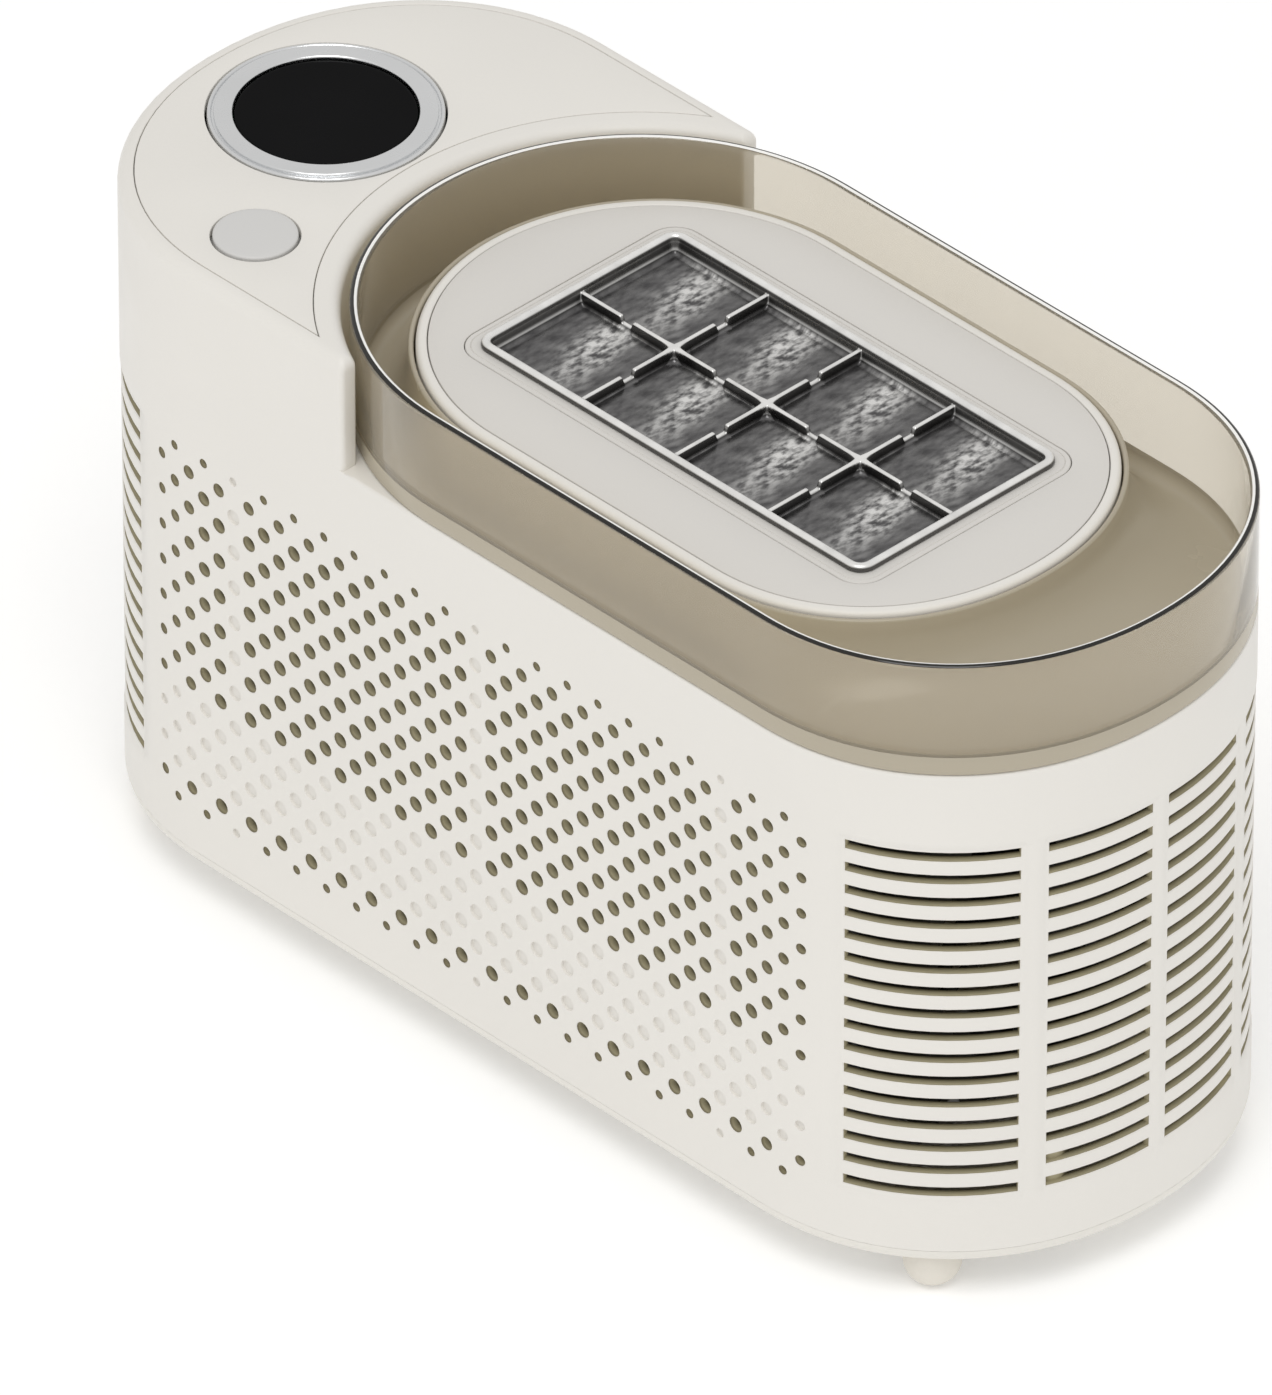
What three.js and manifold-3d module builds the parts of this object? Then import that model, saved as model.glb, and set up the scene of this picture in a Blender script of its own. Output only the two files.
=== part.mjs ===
// Countertop ice maker: a stadium-shaped housing with a raised control tower at the rear,
// a smoky lift-off ice tub at the front, and a chilled stainless mold on a platform inside the tub.
// Millimetres, +Z up, origin on the floor under the middle of the body.
// +Y is the rear (tower end), -Y the front (grille end), -X the side next to the start button.

import * as THREE from 'three';
import { mergeVertices } from 'three/addons/utils/BufferGeometryUtils.js';
import Module from 'manifold-3d';

const wasm = await Module();
wasm.setup();

// ---------------------------------------------------------------- driving dimensions

const GAP = 0.3;              // clearance between neighbouring pieces
const HALF_TURN_FACETS = 24;  // facets in half a turn of a large curve
const HOLLOW_FACETS = 24;     // facets in a whole turn of the tower's hollow front

const END_RADIUS = 59.7;      // half the body's width
const END_Y = 83.8;           // distance of each curved end's centre from the middle
const END_DEPTH = 0.93;       // a curved end's depth, as a share of half its width
const END_POWER = 2 / 2.1;    // below 1 makes a curved end fuller at its corners than an ellipse
const END_TIP_Y = END_Y + END_DEPTH * END_RADIUS;
const BODY_BOTTOM = 10;       // underside of the base pan
const SEAM_Z = 19;            // joint between the base pan and the body shell
const DECK_Z = 133.8;         // deck that the tub stands on
const TOP_Z = 161.2;          // tower top and tub rim
const WALL = 2.5;             // moulded wall thickness

const HOLLOW_CENTRE_Y = 13.05;   // centre of the tub's rear end and of the tower's hollow front
const HOLLOW_RADIUS = 61.4;      // tower's hollow front
const HORN_Y = 39.2;             // front faces of the tower's two horns
const PANEL_SIDE_INSET = 3.4;    // top panel's edge, in from the tower's outer edge
const PANEL_FRONT_INSET = 5.5;   // top panel's edge, back from the tower's hollow front
const PANEL_THICK = 2.1;
const PANEL_LEDGE = 1.6;         // ledge under the top panel, in height

const SLOT_ROWS = 16;
const SLOT_PITCH = 5.667;
const SLOT_HEIGHT = 2.2;
const SLOT_TOP_Z = 113.15;       // middle of the highest slot
// start and end of each column of slots, in degrees of turn round its curved end
const FRONT_COLUMNS = [[-159.6, -121.8], [-115.8, -91.9], [-88.1, -64.2], [-58.2, -20.4]];
const REAR_COLUMNS = [[20.4, 58.2], [121.8, 159.6]];
const INLET_Z = 39;
const INLET_RADIUS = 5.6;

const PLATFORM_RADIUS = 50;
const PLATFORM_FRONT_Y = -57.5;
const PLATFORM_REAR_Y = 7.4;
const PLATFORM_TOP = 154.1;
const PLATE_INSET = 2.4;         // platform plate's edge, in from the platform's edge
const PLATE_THICK = 2;

const MOLD_Y = -24.3;            // middle of the mold
const CELL_PITCH_X = 26.8;
const CELL_PITCH_Y = 27.25;
const CELL_COLUMNS = 2;
const CELL_ROWS = 4;
const PARTITION = 2;             // width of the bars between cells
const PARTITION_TOP = 154.5;
const CELL_DEPTH = 3;
const RIM_TOP = 155.8;
const RIM_WIDTH = 2.2;
const TRIM_WIDTH = 3.2;
const SPILL_WIDTH = 3;           // notch in each bar that levels the water between cells
const SPILL_DEPTH = 1.6;

const TUB_WALL = 2;
const TUB_FLOOR = 1.8;
const TUB_INNER_GAP = 0.4;       // between the tub's inner wall and the platform
const TUB_INNER_WALL = 1.2;
const TUB_INNER_TOP = 153.2;

const DISPLAY_Y = 106.3;
const BEZEL_OUTER = 24.8;
const BEZEL_INNER = 19.4;
const BEZEL_TOP = 161.9;
const BUTTON_X = -40.9;
const BUTTON_Y = 84.5;
const BUTTON_RADIUS = 8.9;
const BUTTON_TOP = 162;
const CONTROL_BOARD_Z = 146;
const BOARD_THICK = 1.6;

const COLD_PLATE_TOP = 149.7;
const COLD_PLATE_THICK = 8;
const PELTIER_SIZE = 40;
const PELTIER_THICK = 4;
const PELTIER_SPACING = 27;      // each module's distance from the mold's middle
const SINK_BASE_TOP = 130;
const SINK_BASE_THICK = 6;
const SINK_WIDTH = 96;
const SINK_LENGTH = 130;
const FIN_PITCH = 7.6;
const FIN_COUNT = 13;
const FIN_THICK = 1.6;
const FIN_BOTTOM = 66;

const FAN_SIZE = 80;
const FAN_DEPTH = 20;
const FAN_Y = -93;               // rear face of the fan
const FAN_Z = 76;                // height of the fan's axis
const FAN_BORE = 38;
const FAN_HUB = 15;
const FAN_BLADES = 7;
const FAN_HOLE = 35.75;          // fan screws' distance from the axis, each way

const FOOT_X = 40.4;
const FOOT_Y = 114.7;
const FOOT_RADIUS = 6.15;
const BASE_SCREW_X = 22.4;
const BASE_SCREW_Y = 128.8;
const BOSS_RADIUS = 5;

// ---------------------------------------------------------------- materials

function finish(color, roughness, metalness = 0, opacity = 1) {
  return new THREE.MeshStandardMaterial({
    color, roughness, metalness, opacity, transparent: opacity < 1,
  });
}

const CREAM = () => finish(0xe0ddd5, 0.45);
const PLATE_GREY = () => finish(0xd3d0cb, 0.45);
const SMOKE = () => finish(0x8f8877, 0.08, 0, 0.4);
const STEEL = () => finish(0x8c8b8a, 0.3, 1);
const SILVER = () => finish(0xc8cacc, 0.25, 1);
const ALUMINIUM = () => finish(0xb4b7ba, 0.4, 1);
const BLACK_GLASS = () => finish(0x101112, 0.05);
const BUTTON_GREY = () => finish(0xcccbc9, 0.5);
const RUBBER = () => finish(0xcfc9bd, 0.8);
const BLACK_PLASTIC = () => finish(0x1d1e20, 0.5);
const BOARD_GREEN = () => finish(0x1f5a3c, 0.5);
const CERAMIC = () => finish(0xe9e9e4, 0.6);
const FOAM = () => finish(0x2f3033, 0.95);
const BRASS = () => finish(0xc39a4b, 0.35, 1);

// ---------------------------------------------------------------- shapes and solids

// a point of a curved end at a given turn about the end's centre
function endPoint(radius, angle, centreY = 0) {
  const across = Math.cos(angle);
  const along = Math.sin(angle);
  return new THREE.Vector2(
    radius * Math.sign(across) * Math.abs(across) ** END_POWER,
    centreY + END_DEPTH * radius * Math.sign(along) * Math.abs(along) ** END_POWER,
  );
}

function endPoints(radius, start, centreY) {
  const points = [];
  for (let facet = 0; facet <= HALF_TURN_FACETS; facet += 1) {
    points.push(endPoint(radius, start + Math.PI * facet / HALF_TURN_FACETS, centreY));
  }
  return points;
}

function bodyOutline(radius) {
  return new THREE.Shape([...endPoints(radius, 0, END_Y), ...endPoints(radius, Math.PI, -END_Y)]);
}

// a front end like the body's, and a round rear end
function roundBackedOutline(radius, frontY, rearY) {
  const shape = new THREE.Shape(endPoints(radius, Math.PI, frontY));
  return shape.absarc(0, rearY, radius, 0, Math.PI, false);
}

function roundedRectangle(width, length, corner) {
  const x = width / 2 - corner;
  const y = length / 2 - corner;
  const shape = new THREE.Shape();
  shape.absarc(x, y, corner, 0, Math.PI / 2, false);
  shape.absarc(-x, y, corner, Math.PI / 2, Math.PI, false);
  shape.absarc(-x, -y, corner, Math.PI, 1.5 * Math.PI, false);
  shape.absarc(x, -y, corner, 1.5 * Math.PI, 2 * Math.PI, false);
  return shape;
}

// an upright prism; three.js makes twice curveSegments facets on each arc of its shape
function prism(shape, low, high, facets = HALF_TURN_FACETS) {
  const geometry = new THREE.ExtrudeGeometry(shape, {
    depth: high - low, bevelEnabled: false, curveSegments: facets / 2,
  });
  return geometry.translate(0, 0, low);
}

function bodyPrism(radius, low, high) {
  return toSolid(prism(bodyOutline(radius), low, high));
}

function tubPrism(radius, low, high) {
  return toSolid(prism(roundBackedOutline(radius, -END_Y, HOLLOW_CENTRE_Y), low, high));
}

function platformPrism(radius, low, high) {
  return toSolid(prism(roundBackedOutline(radius, PLATFORM_FRONT_Y, PLATFORM_REAR_Y), low, high));
}

// an upright round-cornered block about the middle of the mold, or about a point beside it
function plate(width, length, corner, low, high, x = 0, y = 0) {
  return toSolid(prism(roundedRectangle(width, length, corner), low, high, 6).translate(x, MOLD_Y + y, 0));
}

function block(x0, x1, y0, y1, z0, z1) {
  const geometry = new THREE.BoxGeometry(x1 - x0, y1 - y0, z1 - z0);
  return geometry.translate((x0 + x1) / 2, (y0 + y1) / 2, (z0 + z1) / 2);
}

// an upright round bar
function bar(radius, low, high, sides = 24) {
  const geometry = new THREE.CylinderGeometry(radius, radius, high - low, sides);
  return geometry.rotateX(Math.PI / 2).translate(0, 0, (low + high) / 2);
}

// a solid of revolution about the upright axis, from [radius, height] points
function turned(points, sides = 32) {
  const profile = points.map(([radius, height]) => new THREE.Vector2(radius, height));
  return new THREE.LatheGeometry(profile, sides).rotateX(Math.PI / 2);
}

function toSolid(geometry) {
  const bare = geometry.clone();
  bare.deleteAttribute('normal');
  bare.deleteAttribute('uv');
  const merged = mergeVertices(bare, 1e-4);
  return new wasm.Manifold(new wasm.Mesh({
    numProp: 3,
    vertProperties: new Float32Array(merged.attributes.position.array),
    triVerts: new Uint32Array(merged.index.array),
  }));
}

function toGeometry(solid) {
  const mesh = solid.getMesh();
  const geometry = new THREE.BufferGeometry();
  geometry.setAttribute('position', new THREE.BufferAttribute(mesh.vertProperties, 3));
  geometry.setIndex(new THREE.BufferAttribute(mesh.triVerts, 1));
  geometry.computeVertexNormals();
  return geometry;
}

const model = new THREE.Group();

function place(parent, name, shape, material) {
  const geometry = shape.isBufferGeometry ? shape : toGeometry(shape);
  const mesh = new THREE.Mesh(geometry, material);
  mesh.name = name;
  parent.add(mesh);
  return mesh;
}

// ---------------------------------------------------------------- housing

// the tower's crescent plan: the body's rear end less the hollow that the tub stands in
function towerSlab(sideInset, frontInset, low, high) {
  const whole = bodyPrism(END_RADIUS - sideInset, low, high);
  const hollow = bar(HOLLOW_RADIUS + frontInset, low - 1, high + 1, HOLLOW_FACETS);
  const front = block(-80, 80, -200, HORN_Y + frontInset, low - 1, high + 1);
  return whole.subtract(toSolid(hollow.translate(0, HOLLOW_CENTRE_Y, 0))).subtract(toSolid(front));
}

// one slot: a slice of a ring about a curved end's centre
function slotCutter(startDegrees, endDegrees) {
  const facets = 6;
  const start = THREE.MathUtils.degToRad(startDegrees);
  const end = THREE.MathUtils.degToRad(endDegrees);
  const outer = [];
  const inner = [];
  for (let facet = 0; facet <= facets; facet += 1) {
    const angle = start + (end - start) * facet / facets;
    outer.push(endPoint(END_RADIUS + 4, angle));
    inner.unshift(endPoint(END_RADIUS - WALL - 4, angle));
  }
  return prism(new THREE.Shape([...outer, ...inner]), -SLOT_HEIGHT / 2, SLOT_HEIGHT / 2);
}

// the slots of one curved end, row by row
function grilleCutters(columns, centreY) {
  let cutters = null;
  columns.forEach(([start, end]) => {
    for (let row = 0; row < SLOT_ROWS; row += 1) {
      const slot = slotCutter(start, end).translate(0, centreY, SLOT_TOP_Z - row * SLOT_PITCH);
      cutters = cutters ? cutters.add(toSolid(slot)) : toSolid(slot);
    }
  });
  return cutters;
}

function cornerPoints(x, y) {
  return [
    ['front_left', -x, -y], ['front_right', x, -y], ['rear_left', -x, y], ['rear_right', x, y],
  ];
}

// shell: side walls, deck, tower walls and four screw bosses, open underneath
function bodyShell() {
  const panelSeat = TOP_Z - PANEL_THICK - GAP;
  const bottom = SEAM_Z + GAP;
  let shell = bodyPrism(END_RADIUS, bottom, TOP_Z);
  const overTub = toSolid(block(-80, 80, -200, HORN_Y, DECK_Z, TOP_Z + 1));
  const hollow = bar(HOLLOW_RADIUS, DECK_Z, TOP_Z + 1, HOLLOW_FACETS).translate(0, HOLLOW_CENTRE_Y, 0);
  shell = shell.subtract(overTub).subtract(toSolid(hollow));
  shell = shell.subtract(bodyPrism(END_RADIUS - WALL, bottom - 1, DECK_Z - WALL));
  shell = shell.subtract(towerSlab(WALL, WALL, DECK_Z - WALL - 1, panelSeat - PANEL_LEDGE));
  shell = shell.subtract(towerSlab(PANEL_SIDE_INSET + 2, PANEL_FRONT_INSET + 1.6,
    panelSeat - PANEL_LEDGE - 1, panelSeat + 1));
  shell = shell.subtract(towerSlab(PANEL_SIDE_INSET, PANEL_FRONT_INSET, panelSeat, TOP_Z + 1));
  shell = shell.subtract(platformPrism(PLATFORM_RADIUS - 4, DECK_Z - WALL - 1, DECK_Z + 1));
  shell = shell.subtract(grilleCutters(FRONT_COLUMNS, -END_Y)).subtract(grilleCutters(REAR_COLUMNS, END_Y));
  const inletHole = bar(INLET_RADIUS + GAP, 0, 20, 16).rotateX(-Math.PI / 2);
  shell = shell.subtract(toSolid(inletHole.translate(0, END_TIP_Y - 10, INLET_Z)));
  cornerPoints(BASE_SCREW_X, BASE_SCREW_Y).forEach(([, x, y]) => {
    const boss = toSolid(bar(BOSS_RADIUS, bottom + 1, 34, 16).translate(x, y, 0));
    const tip = toSolid(bar(BOSS_RADIUS - 1.3, BODY_BOTTOM + 3 + GAP, bottom + 2, 16).translate(x, y, 0));
    const pilot = toSolid(bar(1.4 + GAP, BODY_BOTTOM, 31, 12).translate(x, y, 0));
    shell = shell.add(boss).add(tip).subtract(pilot);
  });
  return shell;
}

// tray under the shell, with rounded lower edge, foot holes and countersunk screw holes
function basePan() {
  const edge = 2;
  const tray = new THREE.ExtrudeGeometry(bodyOutline(END_RADIUS - edge), {
    depth: 12, bevelEnabled: true, bevelSize: edge, bevelThickness: edge, bevelSegments: 1,
  }).translate(0, 0, BODY_BOTTOM + edge);
  let pan = toSolid(tray).subtract(toSolid(block(-80, 80, -200, 200, SEAM_Z, SEAM_Z + 20)));
  pan = pan.subtract(bodyPrism(END_RADIUS - WALL, BODY_BOTTOM + 3, SEAM_Z + 1));
  cornerPoints(FOOT_X, FOOT_Y).forEach(([, x, y]) => {
    pan = pan.subtract(toSolid(bar(2 + GAP, 0, 20, 16).translate(x, y, 0)));
  });
  cornerPoints(BASE_SCREW_X, BASE_SCREW_Y).forEach(([, x, y]) => {
    pan = pan.subtract(toSolid(bar(3 + GAP, BODY_BOTTOM - 1, BODY_BOTTOM + 2, 16).translate(x, y, 0)));
    pan = pan.subtract(toSolid(bar(1.4 + GAP, BODY_BOTTOM, BODY_BOTTOM + 4, 12).translate(x, y, 0)));
  });
  return pan;
}

function foot() {
  return turned([
    [0, 0], [3, 0], [4.4, 1.1], [5.5, 2.8], [FOOT_RADIUS - 0.1, 4.6], [FOOT_RADIUS, 5.8],
    [FOOT_RADIUS, BODY_BOTTOM - GAP], [2, BODY_BOTTOM - GAP], [2, BODY_BOTTOM + 4], [0, BODY_BOTTOM + 4],
  ], 16);
}

function addHousing() {
  place(model, 'body_shell', bodyShell(), CREAM());
  place(model, 'base_pan', basePan(), CREAM());
  cornerPoints(FOOT_X, FOOT_Y).forEach(([corner, x, y]) => {
    place(model, `foot_${corner}`, foot(), RUBBER()).position.set(x, y, 0);
  });
  const screw = [[0, 0.4], [3, 0.4], [3, 1.7], [1.4, 1.7], [1.4, 19], [0, 20.5]];
  cornerPoints(BASE_SCREW_X, BASE_SCREW_Y).forEach(([corner, x, y]) => {
    place(model, `base_screw_${corner}`, turned(screw, 8), STEEL()).position.set(x, y, BODY_BOTTOM);
  });
}

// ---------------------------------------------------------------- control panel

function topPanel() {
  const low = TOP_Z - PANEL_THICK;
  const slab = towerSlab(PANEL_SIDE_INSET + 0.2, PANEL_FRONT_INSET + 0.2, low, TOP_Z);
  const displayHole = toSolid(bar(BEZEL_OUTER + 0.4, low - 1, TOP_Z + 1, 32).translate(0, DISPLAY_Y, 0));
  const buttonHole = toSolid(bar(BUTTON_RADIUS + 0.5, low - 1, TOP_Z + 1, 24).translate(BUTTON_X, BUTTON_Y, 0));
  return slab.subtract(displayHole).subtract(buttonHole);
}

class SpringPath extends THREE.Curve {
  getPoint(t, target = new THREE.Vector3()) {
    const turns = 4;
    const angle = 2 * Math.PI * turns * t;
    return target.set(5 * Math.cos(angle), 5 * Math.sin(angle), 148.5 + 7.2 * t);
  }
}

function buttonSpring() {
  const wire = new THREE.Shape().absarc(0, 0, 0.45, 0, 2 * Math.PI, false);
  return new THREE.ExtrudeGeometry(wire, {
    steps: 40, curveSegments: 3, bevelEnabled: false, extrudePath: new SpringPath(),
  });
}

function addControls() {
  const boardTop = CONTROL_BOARD_Z + BOARD_THICK;
  const underPanel = TOP_Z - PANEL_THICK;
  place(model, 'top_panel', topPanel(), CREAM());
  place(model, 'display_bezel', turned([
    [BEZEL_INNER, 158.4], [BEZEL_OUTER, 158.4], [BEZEL_OUTER, BEZEL_TOP - 0.8], [BEZEL_OUTER - 0.8, BEZEL_TOP],
    [BEZEL_INNER + 0.6, BEZEL_TOP], [BEZEL_INNER, BEZEL_TOP - 0.6], [BEZEL_INNER, 158.4],
  ], 32), SILVER()).position.y = DISPLAY_Y;
  place(model, 'display_lens', turned([
    [0, 158.9], [BEZEL_INNER - GAP, 158.9], [BEZEL_INNER - GAP, 160.7], [BEZEL_INNER - 0.6, 161], [0, 161],
  ], 32), BLACK_GLASS()).position.y = DISPLAY_Y;
  place(model, 'display_module', bar(18, boardTop + GAP, 158.6), BLACK_PLASTIC()).position.y = DISPLAY_Y;
  place(model, 'start_button', turned([
    [0, 154.3], [1.8, 154.3], [1.8, 156.6], [BUTTON_RADIUS + 1.6, 156.6], [BUTTON_RADIUS + 1.6, underPanel - 0.6],
    [BUTTON_RADIUS, underPanel - 0.6], [BUTTON_RADIUS, BUTTON_TOP - 0.7], [BUTTON_RADIUS - 0.7, BUTTON_TOP],
    [0, BUTTON_TOP],
  ], 24), BUTTON_GREY()).position.set(BUTTON_X, BUTTON_Y, 0);
  place(model, 'button_spring', buttonSpring(), STEEL()).position.set(BUTTON_X, BUTTON_Y, 0);
  place(model, 'button_switch', block(-3, 3, -3, 3, boardTop + GAP, 152.4), BLACK_PLASTIC())
    .position.set(BUTTON_X, BUTTON_Y, 0);
  place(model, 'control_board', towerSlab(WALL + 0.4, WALL + 0.4, CONTROL_BOARD_Z, boardTop), BOARD_GREEN());
}

// ---------------------------------------------------------------- platform and mold

function platformWall() {
  const seat = PLATFORM_TOP - PLATE_THICK - GAP;
  const plateEdge = PLATFORM_RADIUS - PLATE_INSET;
  return platformPrism(PLATFORM_RADIUS, DECK_Z + GAP, PLATFORM_TOP)
    .subtract(platformPrism(PLATFORM_RADIUS - WALL, DECK_Z, seat - 1.7))
    .subtract(platformPrism(plateEdge - 2.5, DECK_Z, PLATFORM_TOP + 1))
    .subtract(platformPrism(plateEdge + 0.1, seat, PLATFORM_TOP + 1));
}

const OPENING_X = CELL_COLUMNS * CELL_PITCH_X;               // inside of the mold's rim
const OPENING_Y = CELL_ROWS * CELL_PITCH_Y;
const RIM_X = OPENING_X + 2 * RIM_WIDTH;
const RIM_Y = OPENING_Y + 2 * RIM_WIDTH;
const TRIM_X = RIM_X + 2 * TRIM_WIDTH;
const TRIM_Y = RIM_Y + 2 * TRIM_WIDTH;
const MOLD_X = OPENING_X + 2;                                // mold's body under its rim
const MOLD_LENGTH = OPENING_Y + 2;

function platformPlate() {
  const low = PLATFORM_TOP - PLATE_THICK;
  const slab = platformPrism(PLATFORM_RADIUS - PLATE_INSET - 0.2, low, PLATFORM_TOP);
  return slab.subtract(plate(TRIM_X, TRIM_Y, 6.5, low - 1, PLATFORM_TOP + 1));
}

// frame that closes the gap between the platform plate and the mold
function moldTrim() {
  const low = PLATFORM_TOP - PLATE_THICK;
  const frame = plate(TRIM_X - 0.6, TRIM_Y - 0.6, 6.2, low - 1.6, PLATFORM_TOP);
  const flange = plate(TRIM_X + 4, TRIM_Y + 4, 8, low - 1.6, low - GAP);
  return frame.add(flange).subtract(plate(MOLD_X + 0.6, MOLD_LENGTH + 0.6, 3.5, low - 3, PLATFORM_TOP + 1));
}

function cellCentres() {
  const centres = [];
  for (let column = 0; column < CELL_COLUMNS; column += 1) {
    for (let row = 0; row < CELL_ROWS; row += 1) {
      centres.push([
        (column - (CELL_COLUMNS - 1) / 2) * CELL_PITCH_X,
        (row - (CELL_ROWS - 1) / 2) * CELL_PITCH_Y,
      ]);
    }
  }
  return centres;
}

// stainless tray of two by four cells; the bars between cells stand lower than the rim
function iceMold() {
  const floor = PARTITION_TOP - CELL_DEPTH;
  let mold = plate(RIM_X, RIM_Y, 4, PLATFORM_TOP + GAP, RIM_TOP);
  mold = mold.add(plate(MOLD_X, MOLD_LENGTH, 3, floor - 1.5, RIM_TOP));
  mold = mold.subtract(plate(OPENING_X - PARTITION / 2, OPENING_Y - PARTITION / 2, 2.2, PARTITION_TOP, RIM_TOP + 1));
  cellCentres().forEach(([x, y]) => {
    mold = mold.subtract(plate(CELL_PITCH_X - PARTITION, CELL_PITCH_Y - PARTITION, 2, floor, RIM_TOP, x, y));
    const spillZ = PARTITION_TOP - SPILL_DEPTH;
    if (x < 0) {
      const spill = block(-PARTITION, PARTITION, -SPILL_WIDTH / 2, SPILL_WIDTH / 2, spillZ, RIM_TOP);
      mold = mold.subtract(toSolid(spill.translate(0, MOLD_Y + y, 0)));
    }
    if (y + CELL_PITCH_Y < OPENING_Y / 2) {
      const spill = block(-SPILL_WIDTH / 2, SPILL_WIDTH / 2, -PARTITION, PARTITION, spillZ, RIM_TOP);
      mold = mold.subtract(toSolid(spill.translate(x, MOLD_Y + y + CELL_PITCH_Y / 2, 0)));
    }
  });
  return mold;
}

// open trough with an outer wall, a floor, and an inner wall that stands close round the platform
function iceTub() {
  const low = DECK_Z + GAP;
  const inner = PLATFORM_RADIUS + TUB_INNER_GAP;
  return tubPrism(END_RADIUS, low, TOP_Z)
    .subtract(tubPrism(END_RADIUS - TUB_WALL, low + TUB_FLOOR, TOP_Z + 1))
    .add(platformPrism(inner + TUB_INNER_WALL, low, TUB_INNER_TOP))
    .subtract(platformPrism(inner, low - 1, TOP_Z));
}

function addPlatform() {
  place(model, 'platform_wall', platformWall(), CREAM());
  place(model, 'platform_plate', platformPlate(), PLATE_GREY());
  place(model, 'mold_trim', moldTrim(), PLATE_GREY());
  place(model, 'ice_mold', iceMold(), STEEL());
  place(model, 'ice_tub', iceTub(), SMOKE());
}

// ---------------------------------------------------------------- cooling

const COLD_PLATE_X = 52;
const COLD_PLATE_Y = 106;
const CLAMP_X = 2.5 * FIN_PITCH;     // clamp screws stand between two fins
const CLAMP_RADIUS = 1.5;

function clampHole(x, radius, low, high) {
  return toSolid(bar(radius, low, high, 12).translate(x, MOLD_Y, 0));
}

function coldPlate() {
  const low = COLD_PLATE_TOP - COLD_PLATE_THICK;
  let slab = plate(COLD_PLATE_X, COLD_PLATE_Y, 2, low, COLD_PLATE_TOP);
  [-CLAMP_X, CLAMP_X].forEach((x) => {
    slab = slab.subtract(clampHole(x, CLAMP_RADIUS + GAP, low - 1, low + 5));
  });
  const probeBore = bar(2 + GAP, 0, 20, 12).rotateX(-Math.PI / 2);
  return slab.subtract(toSolid(probeBore.translate(0, MOLD_Y + COLD_PLATE_Y / 2 - 12, low + 4)));
}

function insulation() {
  const ring = platformPrism(PLATFORM_RADIUS - 4.5, SINK_BASE_TOP + 0.5, COLD_PLATE_TOP);
  const channel = block(-3, 3, 0, 80, COLD_PLATE_TOP - 6.7, COLD_PLATE_TOP - 0.7);
  return ring
    .subtract(plate(COLD_PLATE_X + 1, COLD_PLATE_Y + 1, 2, 120, 160))
    .subtract(toSolid(channel));
}

// aluminium comb: pedestal under the modules, base, and fins along the air's path
function heatSink() {
  const frontY = MOLD_Y - SINK_LENGTH / 2;
  const rearY = MOLD_Y + SINK_LENGTH / 2;
  const baseLow = SINK_BASE_TOP - SINK_BASE_THICK;
  const coldSide = COLD_PLATE_TOP - COLD_PLATE_THICK - 2 * GAP - PELTIER_THICK;
  let sink = toSolid(block(-SINK_WIDTH / 2, SINK_WIDTH / 2, frontY, rearY, baseLow, SINK_BASE_TOP));
  sink = sink.add(plate(COLD_PLATE_X - 1, COLD_PLATE_Y - 1, 2, SINK_BASE_TOP - 1, coldSide));
  for (let fin = 0; fin < FIN_COUNT; fin += 1) {
    const x = (fin - (FIN_COUNT - 1) / 2) * FIN_PITCH;
    sink = sink.add(toSolid(block(x - FIN_THICK / 2, x + FIN_THICK / 2, frontY, rearY, FIN_BOTTOM, baseLow + 1)));
  }
  [-CLAMP_X, CLAMP_X].forEach((x) => {
    sink = sink.subtract(clampHole(x, CLAMP_RADIUS + GAP, baseLow - 1, coldSide + 1));
  });
  return sink;
}

function addCooling() {
  const coldLow = COLD_PLATE_TOP - COLD_PLATE_THICK;
  const moduleTop = coldLow - GAP;
  place(model, 'cold_plate', coldPlate(), ALUMINIUM());
  [['front', -PELTIER_SPACING], ['rear', PELTIER_SPACING]].forEach(([end, offset]) => {
    const half = PELTIER_SIZE / 2;
    const module = block(-half, half, -half, half, moduleTop - PELTIER_THICK, moduleTop);
    place(model, `peltier_${end}`, module, CERAMIC()).position.y = MOLD_Y + offset;
  });
  place(model, 'insulation_block', insulation(), FOAM());
  place(model, 'heat_sink', heatSink(), ALUMINIUM());
  const headLow = SINK_BASE_TOP - SINK_BASE_THICK - 2.4;
  const screw = [[0, headLow], [2.6, headLow], [2.6, headLow + 2.1], [CLAMP_RADIUS, headLow + 2.1],
    [CLAMP_RADIUS, coldLow + 4], [0, coldLow + 4.6]];
  [['left', -CLAMP_X], ['right', CLAMP_X]].forEach(([side, x]) => {
    place(model, `clamp_screw_${side}`, turned(screw, 8), STEEL()).position.set(x, MOLD_Y, 0);
  });
  const probe = turned([[0, 0], [1.6, 0], [2, 0.5], [2, 26], [0, 26]], 12);
  const probeMesh = place(model, 'temperature_probe', probe, BRASS());
  probeMesh.rotation.x = -Math.PI / 2;
  probeMesh.position.set(0, MOLD_Y + COLD_PLATE_Y / 2 - 11, coldLow + 4);
}

// ---------------------------------------------------------------- fan

// fan pieces are drawn with the axis upright and stand in a group turned to face the front
const fan = new THREE.Group();
fan.rotation.x = Math.PI / 2;
fan.position.set(0, FAN_Y, FAN_Z);
model.add(fan);

const FAN_SHAFT = 2;
const FAN_BEARING = 4;

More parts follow.
